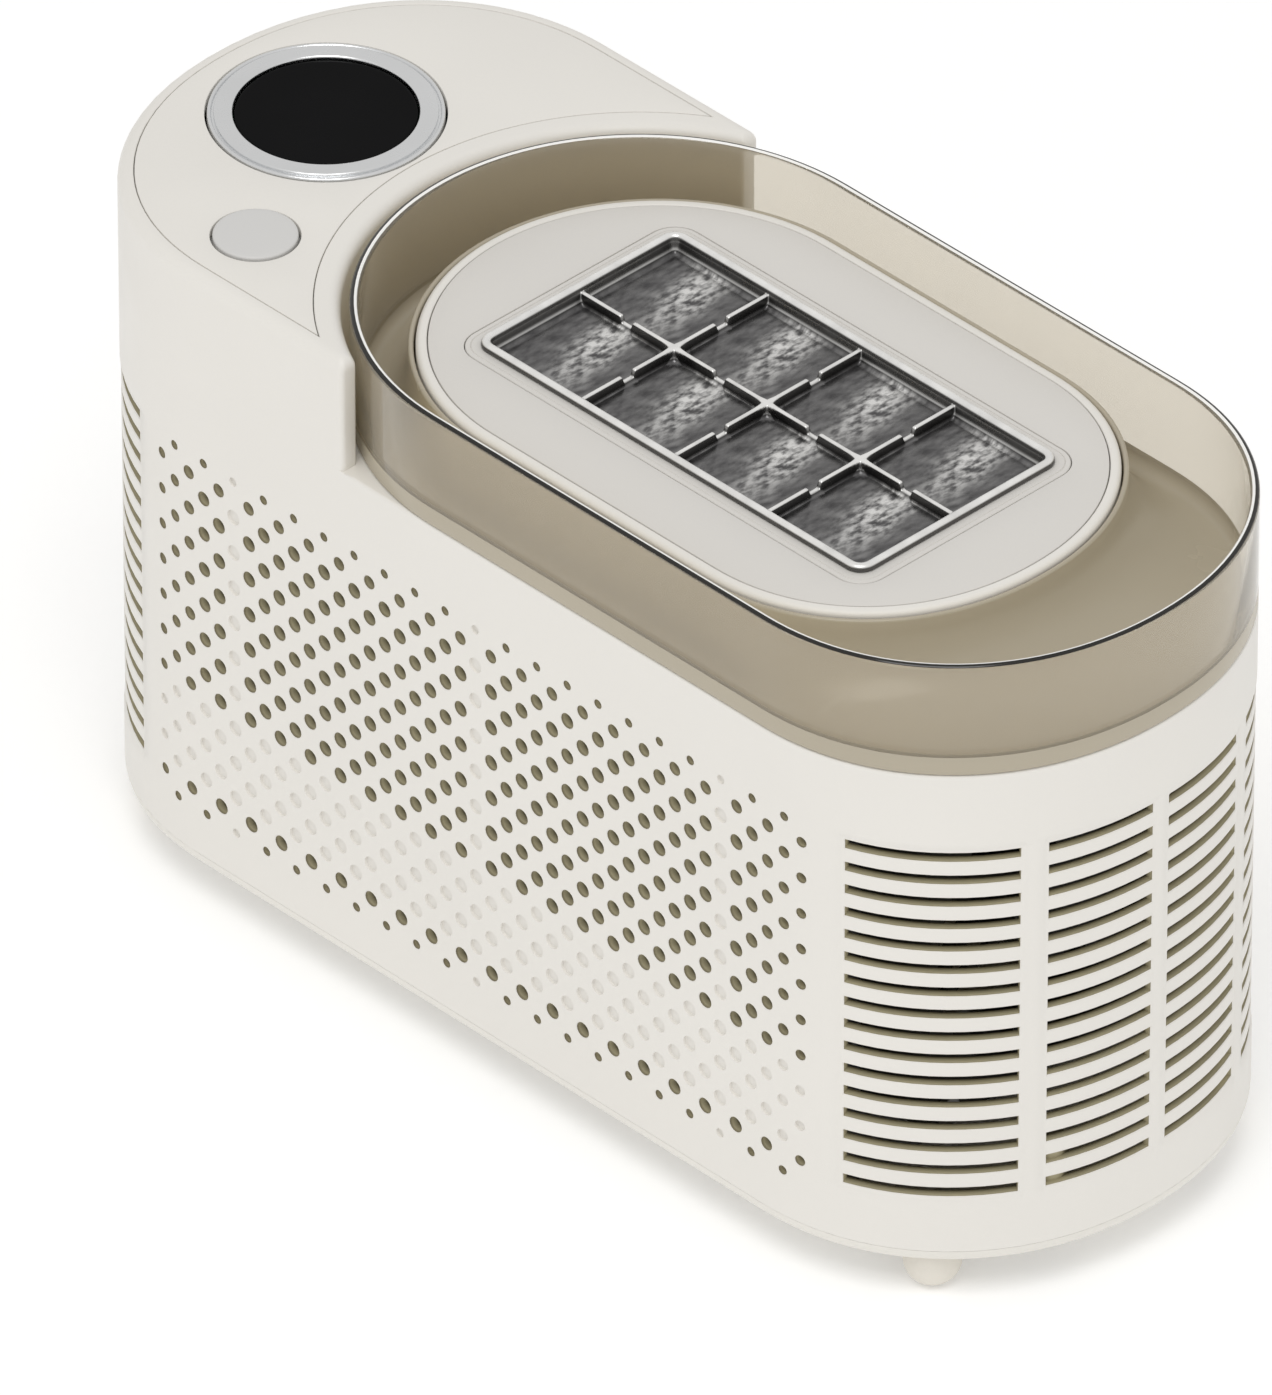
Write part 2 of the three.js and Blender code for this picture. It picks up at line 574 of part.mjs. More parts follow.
function fanFrame() {
  const half = FAN_SIZE / 2;
  let frame = toSolid(block(-half, half, -half, half, 0, FAN_DEPTH));
  frame = frame.subtract(toSolid(bar(FAN_BORE, -1, FAN_DEPTH + 1, 32)));
  frame = frame.add(toSolid(bar(FAN_HUB, 0, 6)));
  for (let arm = 0; arm < 4; arm += 1) {
    const strut = block(FAN_HUB - 1, FAN_BORE + 1, -1.5, 1.5, 0, 3).rotateZ((arm + 0.5) * Math.PI / 2);
    frame = frame.add(toSolid(strut));
  }
  frame = frame.subtract(toSolid(bar(FAN_BEARING + GAP, -1, 7, 16)));
  cornerPoints(FAN_HOLE, FAN_HOLE).forEach(([, x, y]) => {
    frame = frame.subtract(toSolid(bar(2.2, -1, FAN_DEPTH + 1, 8).translate(x, y, 0)));
  });
  return frame;
}

function fanRotor() {
  const bladeLength = 22.5;
  let rotor = toSolid(bar(FAN_HUB, 7, 19));
  for (let blade = 0; blade < FAN_BLADES; blade += 1) {
    const shape = new THREE.BoxGeometry(bladeLength, 1.6, 16).rotateX(THREE.MathUtils.degToRad(50));
    shape.translate(FAN_HUB - 1 + bladeLength / 2, 0, 13).rotateZ(blade * 2 * Math.PI / FAN_BLADES);
    rotor = rotor.add(toSolid(shape));
  }
  return rotor.subtract(toSolid(bar(FAN_SHAFT + GAP, 6, 13, 16)));
}

function fanBracket() {
  let bracket = toSolid(block(-46, 46, FAN_Y + GAP, FAN_Y + GAP + 2, BODY_BOTTOM + 3 + GAP, 122));
  const opening = bar(FAN_BORE, -10, 10, 32).rotateX(-Math.PI / 2);
  bracket = bracket.subtract(toSolid(opening.translate(0, FAN_Y, FAN_Z)));
  cornerPoints(FAN_HOLE, FAN_HOLE).forEach(([, x, z]) => {
    const hole = bar(2.1, -10, 10, 8).rotateX(-Math.PI / 2);
    bracket = bracket.subtract(toSolid(hole.translate(x, FAN_Y, FAN_Z + z)));
  });
  return bracket;
}

function addFan() {
  place(fan, 'fan_frame', fanFrame(), BLACK_PLASTIC());
  place(fan, 'fan_rotor', fanRotor(), BLACK_PLASTIC());
  place(fan, 'fan_shaft', bar(FAN_SHAFT, 0.6, 12.6, 16), STEEL());
  place(fan, 'fan_bearing', turned([
    [FAN_SHAFT + GAP, 0.4], [FAN_BEARING, 0.4], [FAN_BEARING, 5.6], [FAN_SHAFT + GAP, 5.6], [FAN_SHAFT + GAP, 0.4],
  ], 16), BRASS());
  const headLow = FAN_DEPTH + GAP;
  const screw = [[0, -3.2], [1.8, -2.4], [1.8, headLow], [3.4, headLow], [3.4, headLow + 1.4], [2.4, headLow + 2.2],
    [0, headLow + 2.2]];
  cornerPoints(FAN_HOLE, FAN_HOLE).forEach(([corner, x, y]) => {
    const name = corner.replace('front', 'lower').replace('rear', 'upper');
    place(fan, `fan_screw_${name}`, turned(screw, 8), STEEL()).position.set(x, y, 0);
  });
  place(model, 'fan_bracket', fanBracket(), ALUMINIUM());
}

// ---------------------------------------------------------------- electronics

function addElectronics() {
  const boardY = 66;
  const boardRear = boardY + BOARD_THICK;
  place(model, 'driver_board', block(-40, 40, boardY, boardRear, BODY_BOTTOM + 3 + GAP, 96), BOARD_GREEN());
  const standing = (radius, height, x, z) => {
    const can = bar(radius, 0, height, 20).rotateX(-Math.PI / 2);
    return can.translate(x, boardRear + GAP, z);
  };
  place(model, 'board_inductor', standing(11, 12, -18, 40), BRASS());
  place(model, 'board_capacitor_left', standing(6, 20, -22, 72), BLACK_PLASTIC());
  place(model, 'board_capacitor_right', standing(6, 20, -6, 72), BLACK_PLASTIC());
  place(model, 'board_heat_spreader', block(8, 34, boardRear + GAP, boardRear + 14, 30, 84), ALUMINIUM());

  const inletY = END_TIP_Y - 0.2;
  const inlet = place(model, 'power_inlet', turned([
    [0, -16], [8.5, -16], [8.5, -WALL - 0.9], [INLET_RADIUS, -WALL - 0.9], [INLET_RADIUS, -0.6],
    [INLET_RADIUS - 0.5, 0], [3.4, 0], [3.4, -11], [1, -11], [1, -1.5], [0, -1],
  ], 16), BLACK_PLASTIC());
  inlet.rotation.x = -Math.PI / 2;
  inlet.position.set(0, inletY, INLET_Z);
}

addHousing();
addControls();
addPlatform();
addCooling();
addFan();
addElectronics();

export default model;
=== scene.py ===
"""Looks of a countertop ice maker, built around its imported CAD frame.

The housing, panel, tub, platform, mold, button and feet are rebuilt here as fine meshes. The
inner CAD pieces keep their shapes and get materials. Sizes are in millimetres, with +Z up and the
tower at +Y.
"""

import math

import bmesh
import bpy
import numpy as np
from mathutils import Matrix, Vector
from mathutils.geometry import delaunay_2d_cdt


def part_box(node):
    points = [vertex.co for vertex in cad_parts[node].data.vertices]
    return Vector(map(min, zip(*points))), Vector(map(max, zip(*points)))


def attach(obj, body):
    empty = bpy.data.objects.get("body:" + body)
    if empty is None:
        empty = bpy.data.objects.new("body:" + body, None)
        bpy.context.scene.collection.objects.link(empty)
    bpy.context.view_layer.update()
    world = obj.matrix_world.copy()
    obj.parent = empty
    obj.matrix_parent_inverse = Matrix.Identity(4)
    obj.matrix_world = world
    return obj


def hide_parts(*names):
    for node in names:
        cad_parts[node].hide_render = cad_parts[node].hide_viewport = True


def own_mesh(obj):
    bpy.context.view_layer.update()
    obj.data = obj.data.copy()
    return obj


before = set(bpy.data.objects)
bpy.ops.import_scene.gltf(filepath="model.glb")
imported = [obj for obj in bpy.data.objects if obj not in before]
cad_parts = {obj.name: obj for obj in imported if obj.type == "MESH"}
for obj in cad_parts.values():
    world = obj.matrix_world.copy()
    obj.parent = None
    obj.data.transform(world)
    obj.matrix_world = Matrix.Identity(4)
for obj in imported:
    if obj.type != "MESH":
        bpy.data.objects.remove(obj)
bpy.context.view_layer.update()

MM = 0.001
TINY = 0.001                             # in mm, less than any real distance here


def box_mm(node):
    low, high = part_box(node)
    return low / MM, high / MM


# ---------------------------------------------------------------- sizes

shell_low, shell_high = box_mm("body_shell")
pan_low, _ = box_mm("base_pan")
tub_low, tub_high = box_mm("ice_tub")
platform_low, platform_high = box_mm("platform_wall")
plate_low, plate_high = box_mm("platform_plate")
trim_low, trim_high = box_mm("mold_trim")
mold_low, mold_high = box_mm("ice_mold")
bezel_low, bezel_high = box_mm("display_bezel")
lens_low, lens_high = box_mm("display_lens")
button_low, button_high = box_mm("start_button")
spring_low, spring_high = box_mm("button_spring")

END_RADIUS = shell_high.x
END_DEPTH = 0.93                         # a curved end's depth, as a share of half its width
END_FULLNESS = 2.1                       # above 2 makes a curved end fuller than an ellipse
END_POWER = 2 / END_FULLNESS
END_STEP = 3.6                           # degrees between a curved end's grid lines
END_Y = shell_high.y - END_DEPTH * END_RADIUS
TOP = shell_high.z
SEAM_TOP = shell_low.z
DECK = tub_low.z - 0.3
WALL = 2.5

HOLLOW_RADIUS = 61.4
HOLLOW_Y = tub_high.y - END_RADIUS
HORN_CORNER = 1.3                        # rounding of a horn's upright outer edge
HORN_START = 40.5
THIN_HORN = 0.2                          # a horn narrower than this ends in a point
HORN_Y = HORN_START - HORN_CORNER
TOWER_FILLET = 2.7
PANEL_SEAM = (3.4, 5.5)                  # top panel's seam, in from the side and from the hollow
SEAM_GAP = 0.22
PLATE_ROUNDING = 0.18                    # rounding of the panel's and the plate's upper edges
PANEL_SEAT = TOP - 2.4
TOWER_MIDDLE = 146
DECK_FILLET = 0.8

PLATFORM_RADIUS = platform_high.x
PLATFORM_FRONT = platform_low.y + END_DEPTH * PLATFORM_RADIUS
PLATFORM_REAR = platform_high.y - PLATFORM_RADIUS
PLATE_INSET = 2.4                        # plate's edge, in from the platform's edge
DECK_OPENING = 46                        # radius of the deck's opening under the platform

DISPLAY_Y = (bezel_low.y + bezel_high.y) / 2
BEZEL_RADIUS = 24.8
BUTTON_X = (button_low.x + button_high.x) / 2
BUTTON_Y = (button_low.y + button_high.y) / 2
BUTTON_RADIUS = 8.9

FOOT_X = 40.4
FOOT_Y = 114.7
SCREW_X = 22.4
SCREW_Y = 128.8
POST_PROFILE = ((1.7, 13.3), (3.7, 13.3), (3.7, 20.3), (5, 20.3), (5, 34), (1.7, 34))

HOLE_PITCH = 4.5
HOLE_COLUMNS = 43
HOLE_ROWS = 21
HOLE_RADIUS = 1.8
PAINTED_SHADE_DEPTH = 0.8                       # the shell gets painted shade from here in
BAND_TOP = 116.65
BAND_BOTTOM = BAND_TOP - HOLE_ROWS * HOLE_PITCH
SIDE_REACH = HOLE_COLUMNS * HOLE_PITCH / 2
COLUMN_FADE = {0: 0.7, 1: 0.79, 2: 0.88, 3: 0.95}
ROW_FADE = {0: 0.6, 1: 0.88, HOLE_ROWS - 1: 0.6}
DIMPLE_COLUMNS = (5, 21, 37)
DIMPLE_ROWS = range(14, 19)
HOLE_PROFILE = ((0.14, 0), (0, 0.16), (-0.08, WALL))         # change of radius, and depth
DIMPLE_PROFILE = ((0, 0), (-0.06, 0.66), (-0.4, 0.76))

SLOT_COUNT = 16
SLOT_PITCH = 5.667
SLOT_TOP = 113.15
SLOT_HALF = 1.1
SLOT_CHAMFER = 0.22
SLOTS_HIGH = SLOT_TOP + SLOT_HALF
SLOTS_LOW = SLOT_TOP - (SLOT_COUNT - 1) * SLOT_PITCH - SLOT_HALF
WINDOW_DEPTH = 0.25                      # the slots sit in shallow windows
WINDOW_MARGIN = 0.75                     # degrees between a window's edge and its slots
WINDOW_EDGE = 0.9                        # height of the same margin
WINDOW_BEVEL = 0.45                      # width of a window's sloping border, mm or degrees
FRONT_COLUMNS = ((200.4, 238.2), (244.2, 268.1), (271.9, 295.8), (301.8, 339.6))
REAR_COLUMNS = ((20.4, 58.2), (121.8, 159.6))
REAR_MIDDLE = 90                         # degrees round the rear end
INLET_Z = 39
INLET_HOLE = 5.9
INLET_PATCH = 9                          # half the wall's patch round the inlet, mm or degrees
INLET_LINES = (81.5, 98.5)               # degrees of the grid lines at that patch's sides
GRILLE_MARGIN = 2.6                      # degrees from the sides' holes to the ends' grids


# ---------------------------------------------------------------- meshes


class Solid:
    """Points and faces gathered into one mesh. Faces are turned outwards at the end."""

    def __init__(self):
        self.points = []
        self.faces = []

    def add(self, points):
        start = len(self.points)
        self.points.extend(tuple(map(float, p)) for p in points)
        return list(range(start, len(self.points)))

    def strip(self, row, other, closed=True):
        """Faces between two rows of as many points."""
        count = len(row)
        for k in range(count if closed else count - 1):
            n = (k + 1) % count
            self.faces.append((row[k], row[n], other[n], other[k]))

    def rings(self, rings):
        """Faces from each ring of points to the next. Returns the rings' point numbers."""
        rows = [self.add(ring) for ring in rings]
        for row, other in zip(rows, rows[1:]):
            self.strip(row, other)
        return rows

    def closed_rings(self, rings):
        """The same, with faces from the last ring back to the first."""
        rows = self.rings(rings)
        self.strip(rows[-1], rows[0])
        return self

    def zip_rows(self, row, other):
        """Triangles between two rows of (place, point number), walked in order of place."""
        i, j = 0, 0
        while i < len(row) - 1 or j < len(other) - 1:
            at_end = j == len(other) - 1
            if at_end or (i < len(row) - 1 and row[i + 1][0] <= other[j + 1][0]):
                self.faces.append((row[i][1], row[i + 1][1], other[j][1]))
                i += 1
            else:
                self.faces.append((row[i][1], other[j + 1][1], other[j][1]))
                j += 1

    def by_height(self, row):
        return [(self.points[k][2], k) for k in row]

    def fill(self, *loops):
        """A flat face inside the first loop, less the other loops."""
        indices = [index for loop in loops for index in loop]
        flat = [Vector(self.points[index][:2]) for index in indices]
        edges = []
        for loop in loops:
            start, count = len(edges), len(loop)
            edges += [(start + k, start + (k + 1) % count) for k in range(count)]
        starts = np.array([flat[start] for start, _ in edges])
        ends = np.array([flat[end] for _, end in edges])
        points, _, triangles, origins, _, _ = delaunay_2d_cdt(flat, edges, [], 0, 1e-6)
        for triangle in triangles:
            middle = sum((points[corner] for corner in triangle), Vector((0, 0))) / 3
            if crossings(middle, starts, ends) % 2:
                self.faces.append(tuple(indices[origins[corner][0]] for corner in triangle))

    def turned(self, profile, centre, steps):
        """A solid of revolution about an upright axis, closed by a disc at both ends."""
        rows = self.rings([circle(radius, height, centre, steps) for radius, height in profile])
        self.faces += [tuple(rows[0]), tuple(rows[-1])]
        return self

    def turned_ring(self, profile, centre, steps):
        return self.closed_rings([circle(radius, z, centre, steps) for radius, z in profile])

    def build(self, name, material, body, node, slot, sharp=32, others=()):
        """Makes the piece. others pairs each further material with a test of a face's middle."""
        mesh = bpy.data.meshes.new(name)
        mesh.from_pydata([[c * MM for c in p] for p in self.points], [], self.faces)
        work = bmesh.new()
        work.from_mesh(mesh)
        bmesh.ops.remove_doubles(work, verts=work.verts, dist=0.003 * MM)
        bmesh.ops.recalc_face_normals(work, faces=work.faces)
        for face in work.faces:
            face.smooth = True
        work.to_mesh(mesh)
        work.free()
        mesh.set_sharp_from_angle(angle=math.radians(sharp))
        mesh.materials.append(material)
        for number, (other, takes) in enumerate(others, 1):
            mesh.materials.append(other)
            for face in mesh.polygons:
                if takes(face.center / MM):
                    face.material_index = number
        piece = bpy.data.objects.new(name, mesh)
        bpy.context.scene.collection.objects.link(piece)
        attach(piece, body)
        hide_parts(node)
        return piece


def crossings(point, starts, ends):
    """How many of the edges a line from the point along +X crosses."""
    rises = (starts[:, 1] > point.y) != (ends[:, 1] > point.y)
    a, b = starts[rises], ends[rises]
    share = (point.y - a[:, 1]) / (b[:, 1] - a[:, 1])
    return int(np.sum(a[:, 0] + share * (b[:, 0] - a[:, 0]) > point.x))


def circle(radius, height, centre, steps):
    x, y = centre
    angles = [2 * math.pi * k / steps for k in range(steps)]
    return [(x + radius * math.cos(a), y + radius * math.sin(a), height) for a in angles]


def arc_profile(centre, radius, start, end, steps):
    """Points on an arc, as (inset or radius, height). Its angles are in degrees."""
    angles = np.radians(np.linspace(start, end, steps + 1))
    return [(centre[0] + radius * math.cos(a), centre[1] + radius * math.sin(a)) for a in angles]


def round_point(radius, angle):
    return radius * math.cos(angle), radius * math.sin(angle)


def end_point(radius, angle):
    """A point of one of the body's curved ends, a little flatter than a half circle."""
    across, along = math.cos(angle), math.sin(angle)
    return (
        radius * math.copysign(abs(across) ** END_POWER, across),
        END_DEPTH * radius * math.copysign(abs(along) ** END_POWER, along),
    )


BODY_ENDS = (end_point, end_point)       # front, rear
TUB_ENDS = (end_point, round_point)


def outline(radius, front, rear, height, ends, steps=40, straight=6):
    """A level ring with two curved ends, the same points in the same order at every radius."""
    ring = []
    halves = ((rear, 0, front, ends[1]), (front, math.pi, rear, ends[0]))
    for centre, first, other, point in halves:
        for k in range(steps):
            x, y = point(radius, first + math.pi * k / steps)
            ring.append((x, centre + y, height))
        side = -radius if first == 0 else radius
        for k in range(straight):
            ring.append((side, centre + (other - centre) * k / straight, height))
    return ring


def platform_outline(radius, height, steps=64):
    return outline(radius, PLATFORM_FRONT, PLATFORM_REAR, height, TUB_ENDS, steps, 8)


# ---------------------------------------------------------------- housing outline

END_ANGLES = np.linspace(0, math.pi, 721)
end_steps = np.diff([end_point(END_RADIUS, angle) for angle in END_ANGLES], axis=0)
END_DISTANCES = np.concatenate([[0], np.cumsum(np.hypot(*end_steps.T))])
HALF_TURN = END_DISTANCES[-1]
LEFT_MIDDLE = 2 * END_Y + HALF_TURN     # distance round the body to the middle of the left side
PERIMETER = 2 * LEFT_MIDDLE


def on_wall(distance, inset, height):
    """A point of the body's outline, by the distance round it from the right side's middle."""
    radius = END_RADIUS - inset
    distance = (distance + END_Y) % PERIMETER
    half = 1 if distance < LEFT_MIDDLE else -1          # the left half is the right one turned
    distance %= LEFT_MIDDLE
    if distance <= 2 * END_Y:
        return (half * radius, half * (distance - END_Y), height)
    x, y = end_point(radius, np.interp(distance - 2 * END_Y, END_DISTANCES, END_ANGLES))
    return (half * x, half * (END_Y + y), height)


def angle_to_distance(degrees):
    """Distance round the body of an angle round its rear end, or past 180 round its front end."""
    start, past = (LEFT_MIDDLE, degrees - 180) if degrees > 180 else (0, degrees)
    return start + END_Y + np.interp(math.radians(past), END_ANGLES, END_DISTANCES)


def wall_inset(point):
    """How far a point lies inside the body's outline."""
    past = max(0, abs(point.y) - END_Y) / END_DEPTH
    return END_RADIUS - (abs(point.x) ** END_FULLNESS + past ** END_FULLNESS) ** (1 / END_FULLNESS)


def is_painted_shade(point):
    """Whether a point of the shell is behind its outer face: in a hole, a slot or the inside. Such
    points get painted shade.
    """
    return wall_inset(point) > PAINTED_SHADE_DEPTH and point.z < DECK - 0.6


def spread(start, end, step):
    """Values from start to end in equal steps of about step, both ends included."""
    count = max(1, round(abs(end - start) / step))
    return [start + (end - start) * k / count for k in range(count + 1)]


def zone_lines(columns, first, last, extra=()):
    """Angles of a round end's upright grid lines, with some at every window's and slot's edge."""
    chamfer = math.degrees(SLOT_CHAMFER / END_RADIUS)
    marks = [first]
    for start, end in columns:
        low, high = start - WINDOW_MARGIN, end + WINDOW_MARGIN
        marks += [low - WINDOW_BEVEL, low, start - chamfer]
        marks += spread(start, end, END_STEP)
        marks += [end + chamfer, high, high + WINDOW_BEVEL]
    marks += list(extra) + [last]
    marks.sort()
    lines = [marks[0]]
    for mark in marks[1:]:
        lines += spread(lines[-1], mark, 5)[1:]
    return lines


def slot_rows():
    """Heights of the grid rows across the slots, from the band's bottom to its top."""
    rows = [BAND_BOTTOM, BAND_TOP]
    for past in (WINDOW_EDGE, WINDOW_EDGE + WINDOW_BEVEL):
        rows += [SLOTS_HIGH + past, SLOTS_LOW - past]
    for k in range(SLOT_COUNT):
        middle = SLOT_TOP - k * SLOT_PITCH
        for offset in (SLOT_HALF, SLOT_HALF + SLOT_CHAMFER):
            rows += [middle - offset, middle + offset]
    return sorted(rows)


def beside_slot(height):
    """A height's distance from the middle of the nearest slot."""
    return min(abs(height - SLOT_TOP + k * SLOT_PITCH) for k in range(SLOT_COUNT))


def is_slot(degrees, height, columns, tiny=0):
    in_column = any(start - tiny < degrees < end + tiny for start, end in columns)
    return in_column and beside_slot(height) < SLOT_HALF + tiny


def grille_depth(degrees, height, columns):
    """How far the grille's surface lies behind the body's, at a grid point."""
    tiny = 0.004
    edge, margin = WINDOW_EDGE + tiny, WINDOW_MARGIN + tiny
    beside = any(start - margin <= degrees <= end + margin for start, end in columns)
    if not (beside and SLOTS_LOW - edge <= height <= SLOTS_HIGH + edge):
        return 0
    return WINDOW_DEPTH + (SLOT_CHAMFER if is_slot(degrees, height, columns, tiny) else 0)


# ---------------------------------------------------------------- housing walls


def cell_middle(lines, i):
    return (lines[i] + lines[i + 1]) / 2


def grille_zone(solid, lines, columns, has_inlet=False):
    """A round end's wall with its slots. Returns its outer and inner grids of point numbers."""
    rows = slot_rows()
    outer, inner = [], []
    for degrees in lines:
        distance = angle_to_distance(degrees)
        outer.append(solid.add(
            on_wall(distance, grille_depth(degrees, z, columns), z) for z in rows
        ))
        inner.append(solid.add(on_wall(distance, WALL, z) for z in rows))
    open_cells = np.zeros((len(lines) - 1, len(rows) - 1), bool)
    for i in range(len(lines) - 1):
        for j in range(len(rows) - 1):
            degrees, height = cell_middle(lines, i), cell_middle(rows, j)
            beside_inlet = max(abs(degrees - REAR_MIDDLE), abs(height - INLET_Z)) < INLET_PATCH
            in_patch = has_inlet and beside_inlet
            open_cells[i, j] = in_patch or is_slot(degrees, height, columns)
            if open_cells[i, j]:
                continue
            for grid in (outer, inner):
                line, following = grid[i], grid[i + 1]
                solid.faces.append((line[j], following[j], following[j + 1], line[j + 1]))
    slot_walls(solid, outer, inner, open_cells, lines, has_inlet)
    if has_inlet:
        inlet_patch(solid, outer, inner, open_cells, lines)
    return outer, inner


def slot_walls(solid, outer, inner, open_cells, lines, has_inlet):
    """Walls through the thickness round every slot."""
    columns, rows = open_cells.shape
    for i in range(columns):
        if has_inlet and abs(cell_middle(lines, i) - REAR_MIDDLE) < INLET_PATCH:
            continue
        for j in range(rows):
            if not open_cells[i, j]:
                continue
            sides = (
                (i - 1, j, (i, j), (i, j + 1)), (i + 1, j, (i + 1, j), (i + 1, j + 1)),
                (i, j - 1, (i, j), (i + 1, j)), (i, j + 1, (i, j + 1), (i + 1, j + 1)),
            )
            for a, b, start, end in sides:
                if not open_cells[a, b]:
                    solid.faces.append((
                        outer[start[0]][start[1]], outer[end[0]][end[1]],
                        inner[end[0]][end[1]], inner[start[0]][start[1]],
                    ))


def patch_border(open_cells, lines):
    """Grid places round the inlet's patch, in order."""
    middle = [
        i for i in range(len(lines) - 1) if abs(cell_middle(lines, i) - REAR_MIDDLE) < INLET_PATCH
    ]
    cells = [j for j in range(open_cells.shape[1]) if open_cells[middle[0], j]]
    left, right = middle[0], middle[-1] + 1
    bottom, top = cells[0], cells[-1] + 1
    border = [(i, bottom) for i in range(left, right)]
    border += [(right, j) for j in range(bottom, top)]
    border += [(i, top) for i in range(right, left, -1)]
    border += [(left, j) for j in range(top, bottom, -1)]
    return border


def by_turn(solid, loop, middle):
    """A loop's points with their turns about a height of the rear wall, the first one repeated."""
    turns = []
    for index in loop:
        x, _, z = solid.points[index]
        turns.append((math.atan2(z - middle, x) % (2 * math.pi), index))
    turns.sort()
    first_turn, first = turns[0]
    return turns + [(first_turn + 2 * math.pi, first)]


def wall_circle(distance, height, radius, inset, steps):
    """A circle round a place on the body's wall."""
    angles = [2 * math.pi * k / steps for k in range(steps)]
    return [
        on_wall(distance + radius * math.cos(a), inset, height + radius * math.sin(a))
        for a in angles
    ]


def inlet_patch(solid, outer, inner, open_cells, lines):
    """The power inlet's round hole in the rear wall, with a chamfered edge."""
    border = patch_border(open_cells, lines)
    middle = angle_to_distance(REAR_MIDDLE)
    chamfer = 0.4
    rows = solid.rings([
        wall_circle(middle, INLET_Z, INLET_HOLE + grow, inset, 40)
        for grow, inset in ((chamfer, 0), (0, chamfer), (0, WALL))
    ])
    for grid, row in ((outer, rows[0]), (inner, rows[-1])):
        edge = [grid[i][j] for i, j in border]
        solid.zip_rows(by_turn(solid, edge, INLET_Z), by_turn(solid, row, INLET_Z))


def hole_radius(column, row):
    """Holes get smaller over the last few columns and rows, so the field fades out."""
    by_column = COLUMN_FADE.get(min(column, HOLE_COLUMNS - 1 - column), 1)
    return HOLE_RADIUS * min(by_column, ROW_FADE.get(row, 1))


def side_zone(solid, middle):
    """A flat side's perforated wall. Returns its outer and inner lattices, by column line."""
    lattices = []
    for inset in (0, WALL):
        lattice = {}
        for i in range(2 * HOLE_COLUMNS + 1):
            for j in range(2 * HOLE_ROWS + 1):
                if i % 2 and j % 2:
                    continue
                distance = middle - SIDE_REACH + i * HOLE_PITCH / 2
                point = on_wall(distance, inset, BAND_BOTTOM + j * HOLE_PITCH / 2)
                lattice[i, j] = solid.add([point])[0]
        lattices.append(lattice)
    for column in range(HOLE_COLUMNS):
        for row in range(HOLE_ROWS):
            side_cell(solid, lattices, middle, column, row)
    return lattices


def side_cell(solid, lattices, middle, column, row):
    """One square of a side wall: plain, with a round hole, or with a shallow blind dimple."""
    i, j = 2 * column, 2 * (HOLE_ROWS - 1 - row)
    border = [(2, 1), (2, 2), (1, 2), (0, 2), (0, 1), (0, 0), (1, 0), (2, 0)]
    outer, inner = ([lattice[i + a, j + b] for a, b in border] for lattice in lattices)
    if (column + row) % 2 == 0:
        solid.faces += [tuple(outer), tuple(inner)]
        return
    centre = middle - SIDE_REACH + (column + 0.5) * HOLE_PITCH
    height = BAND_TOP - (row + 0.5) * HOLE_PITCH
    radius = hole_radius(column, row)
    blind = column in DIMPLE_COLUMNS or row in DIMPLE_ROWS
    rows = solid.rings([
        wall_circle(centre, height, radius + grow, inset, 16)
        for grow, inset in (DIMPLE_PROFILE if blind else HOLE_PROFILE)
    ])
    cell_border(solid, outer, rows[0])
    if blind:
        solid.faces += [tuple(rows[-1]), tuple(inner)]
    else:
        cell_border(solid, inner, rows[-1])


def cell_border(solid, border, ring):
    """Faces between a square's 8 border points and the 16 points of a circle inside it."""
    for k in range(8):
        solid.faces.append((
            border[k], border[(k + 1) % 8],
            ring[(2 * k + 2) % 16], ring[2 * k + 1], ring[2 * k],
        ))


def wall_distances(rear_lines, front_lines):
    """Distances round the body of every ring point: right side, rear, left side, front."""
    steps = [k * HOLE_PITCH / 2 - SIDE_REACH for k in range(2 * HOLE_COLUMNS + 1)]
    distances = steps + [angle_to_distance(a) for a in rear_lines]
    distances += [LEFT_MIDDLE + s for s in steps] + [angle_to_distance(a) for a in front_lines]
    return distances


def perforated_band(solid, rear_lines, front_lines):
    """The walls' band of holes and slots. Returns its bottom and top rings, outer then inner."""
    right = side_zone(solid, 0)
    rear = grille_zone(solid, rear_lines, REAR_COLUMNS, has_inlet=True)
    left = side_zone(solid, LEFT_MIDDLE)
    front = grille_zone(solid, front_lines, FRONT_COLUMNS)
    last_line, last_row = 2 * HOLE_COLUMNS, 2 * HOLE_ROWS
    edges = []
    for face in range(2):
        for side, zone, other in ((right, rear, left), (left, front, right)):
            for lattice, line, at_end in ((side[face], last_line, 0), (other[face], 0, -1)):
                column = solid.by_height(lattice[line, j] for j in range(last_row + 1))
                solid.zip_rows(column, solid.by_height(zone[face][at_end]))
        for row, at_end in ((0, 0), (last_row, -1)):
            ring = []
            for side, zone in ((right, rear), (left, front)):
                ring += [side[face][i, row] for i in range(last_line + 1)]
                ring += [line[at_end] for line in zone[face]]
            edges.append(ring)
    return edges


# ---------------------------------------------------------------- tower


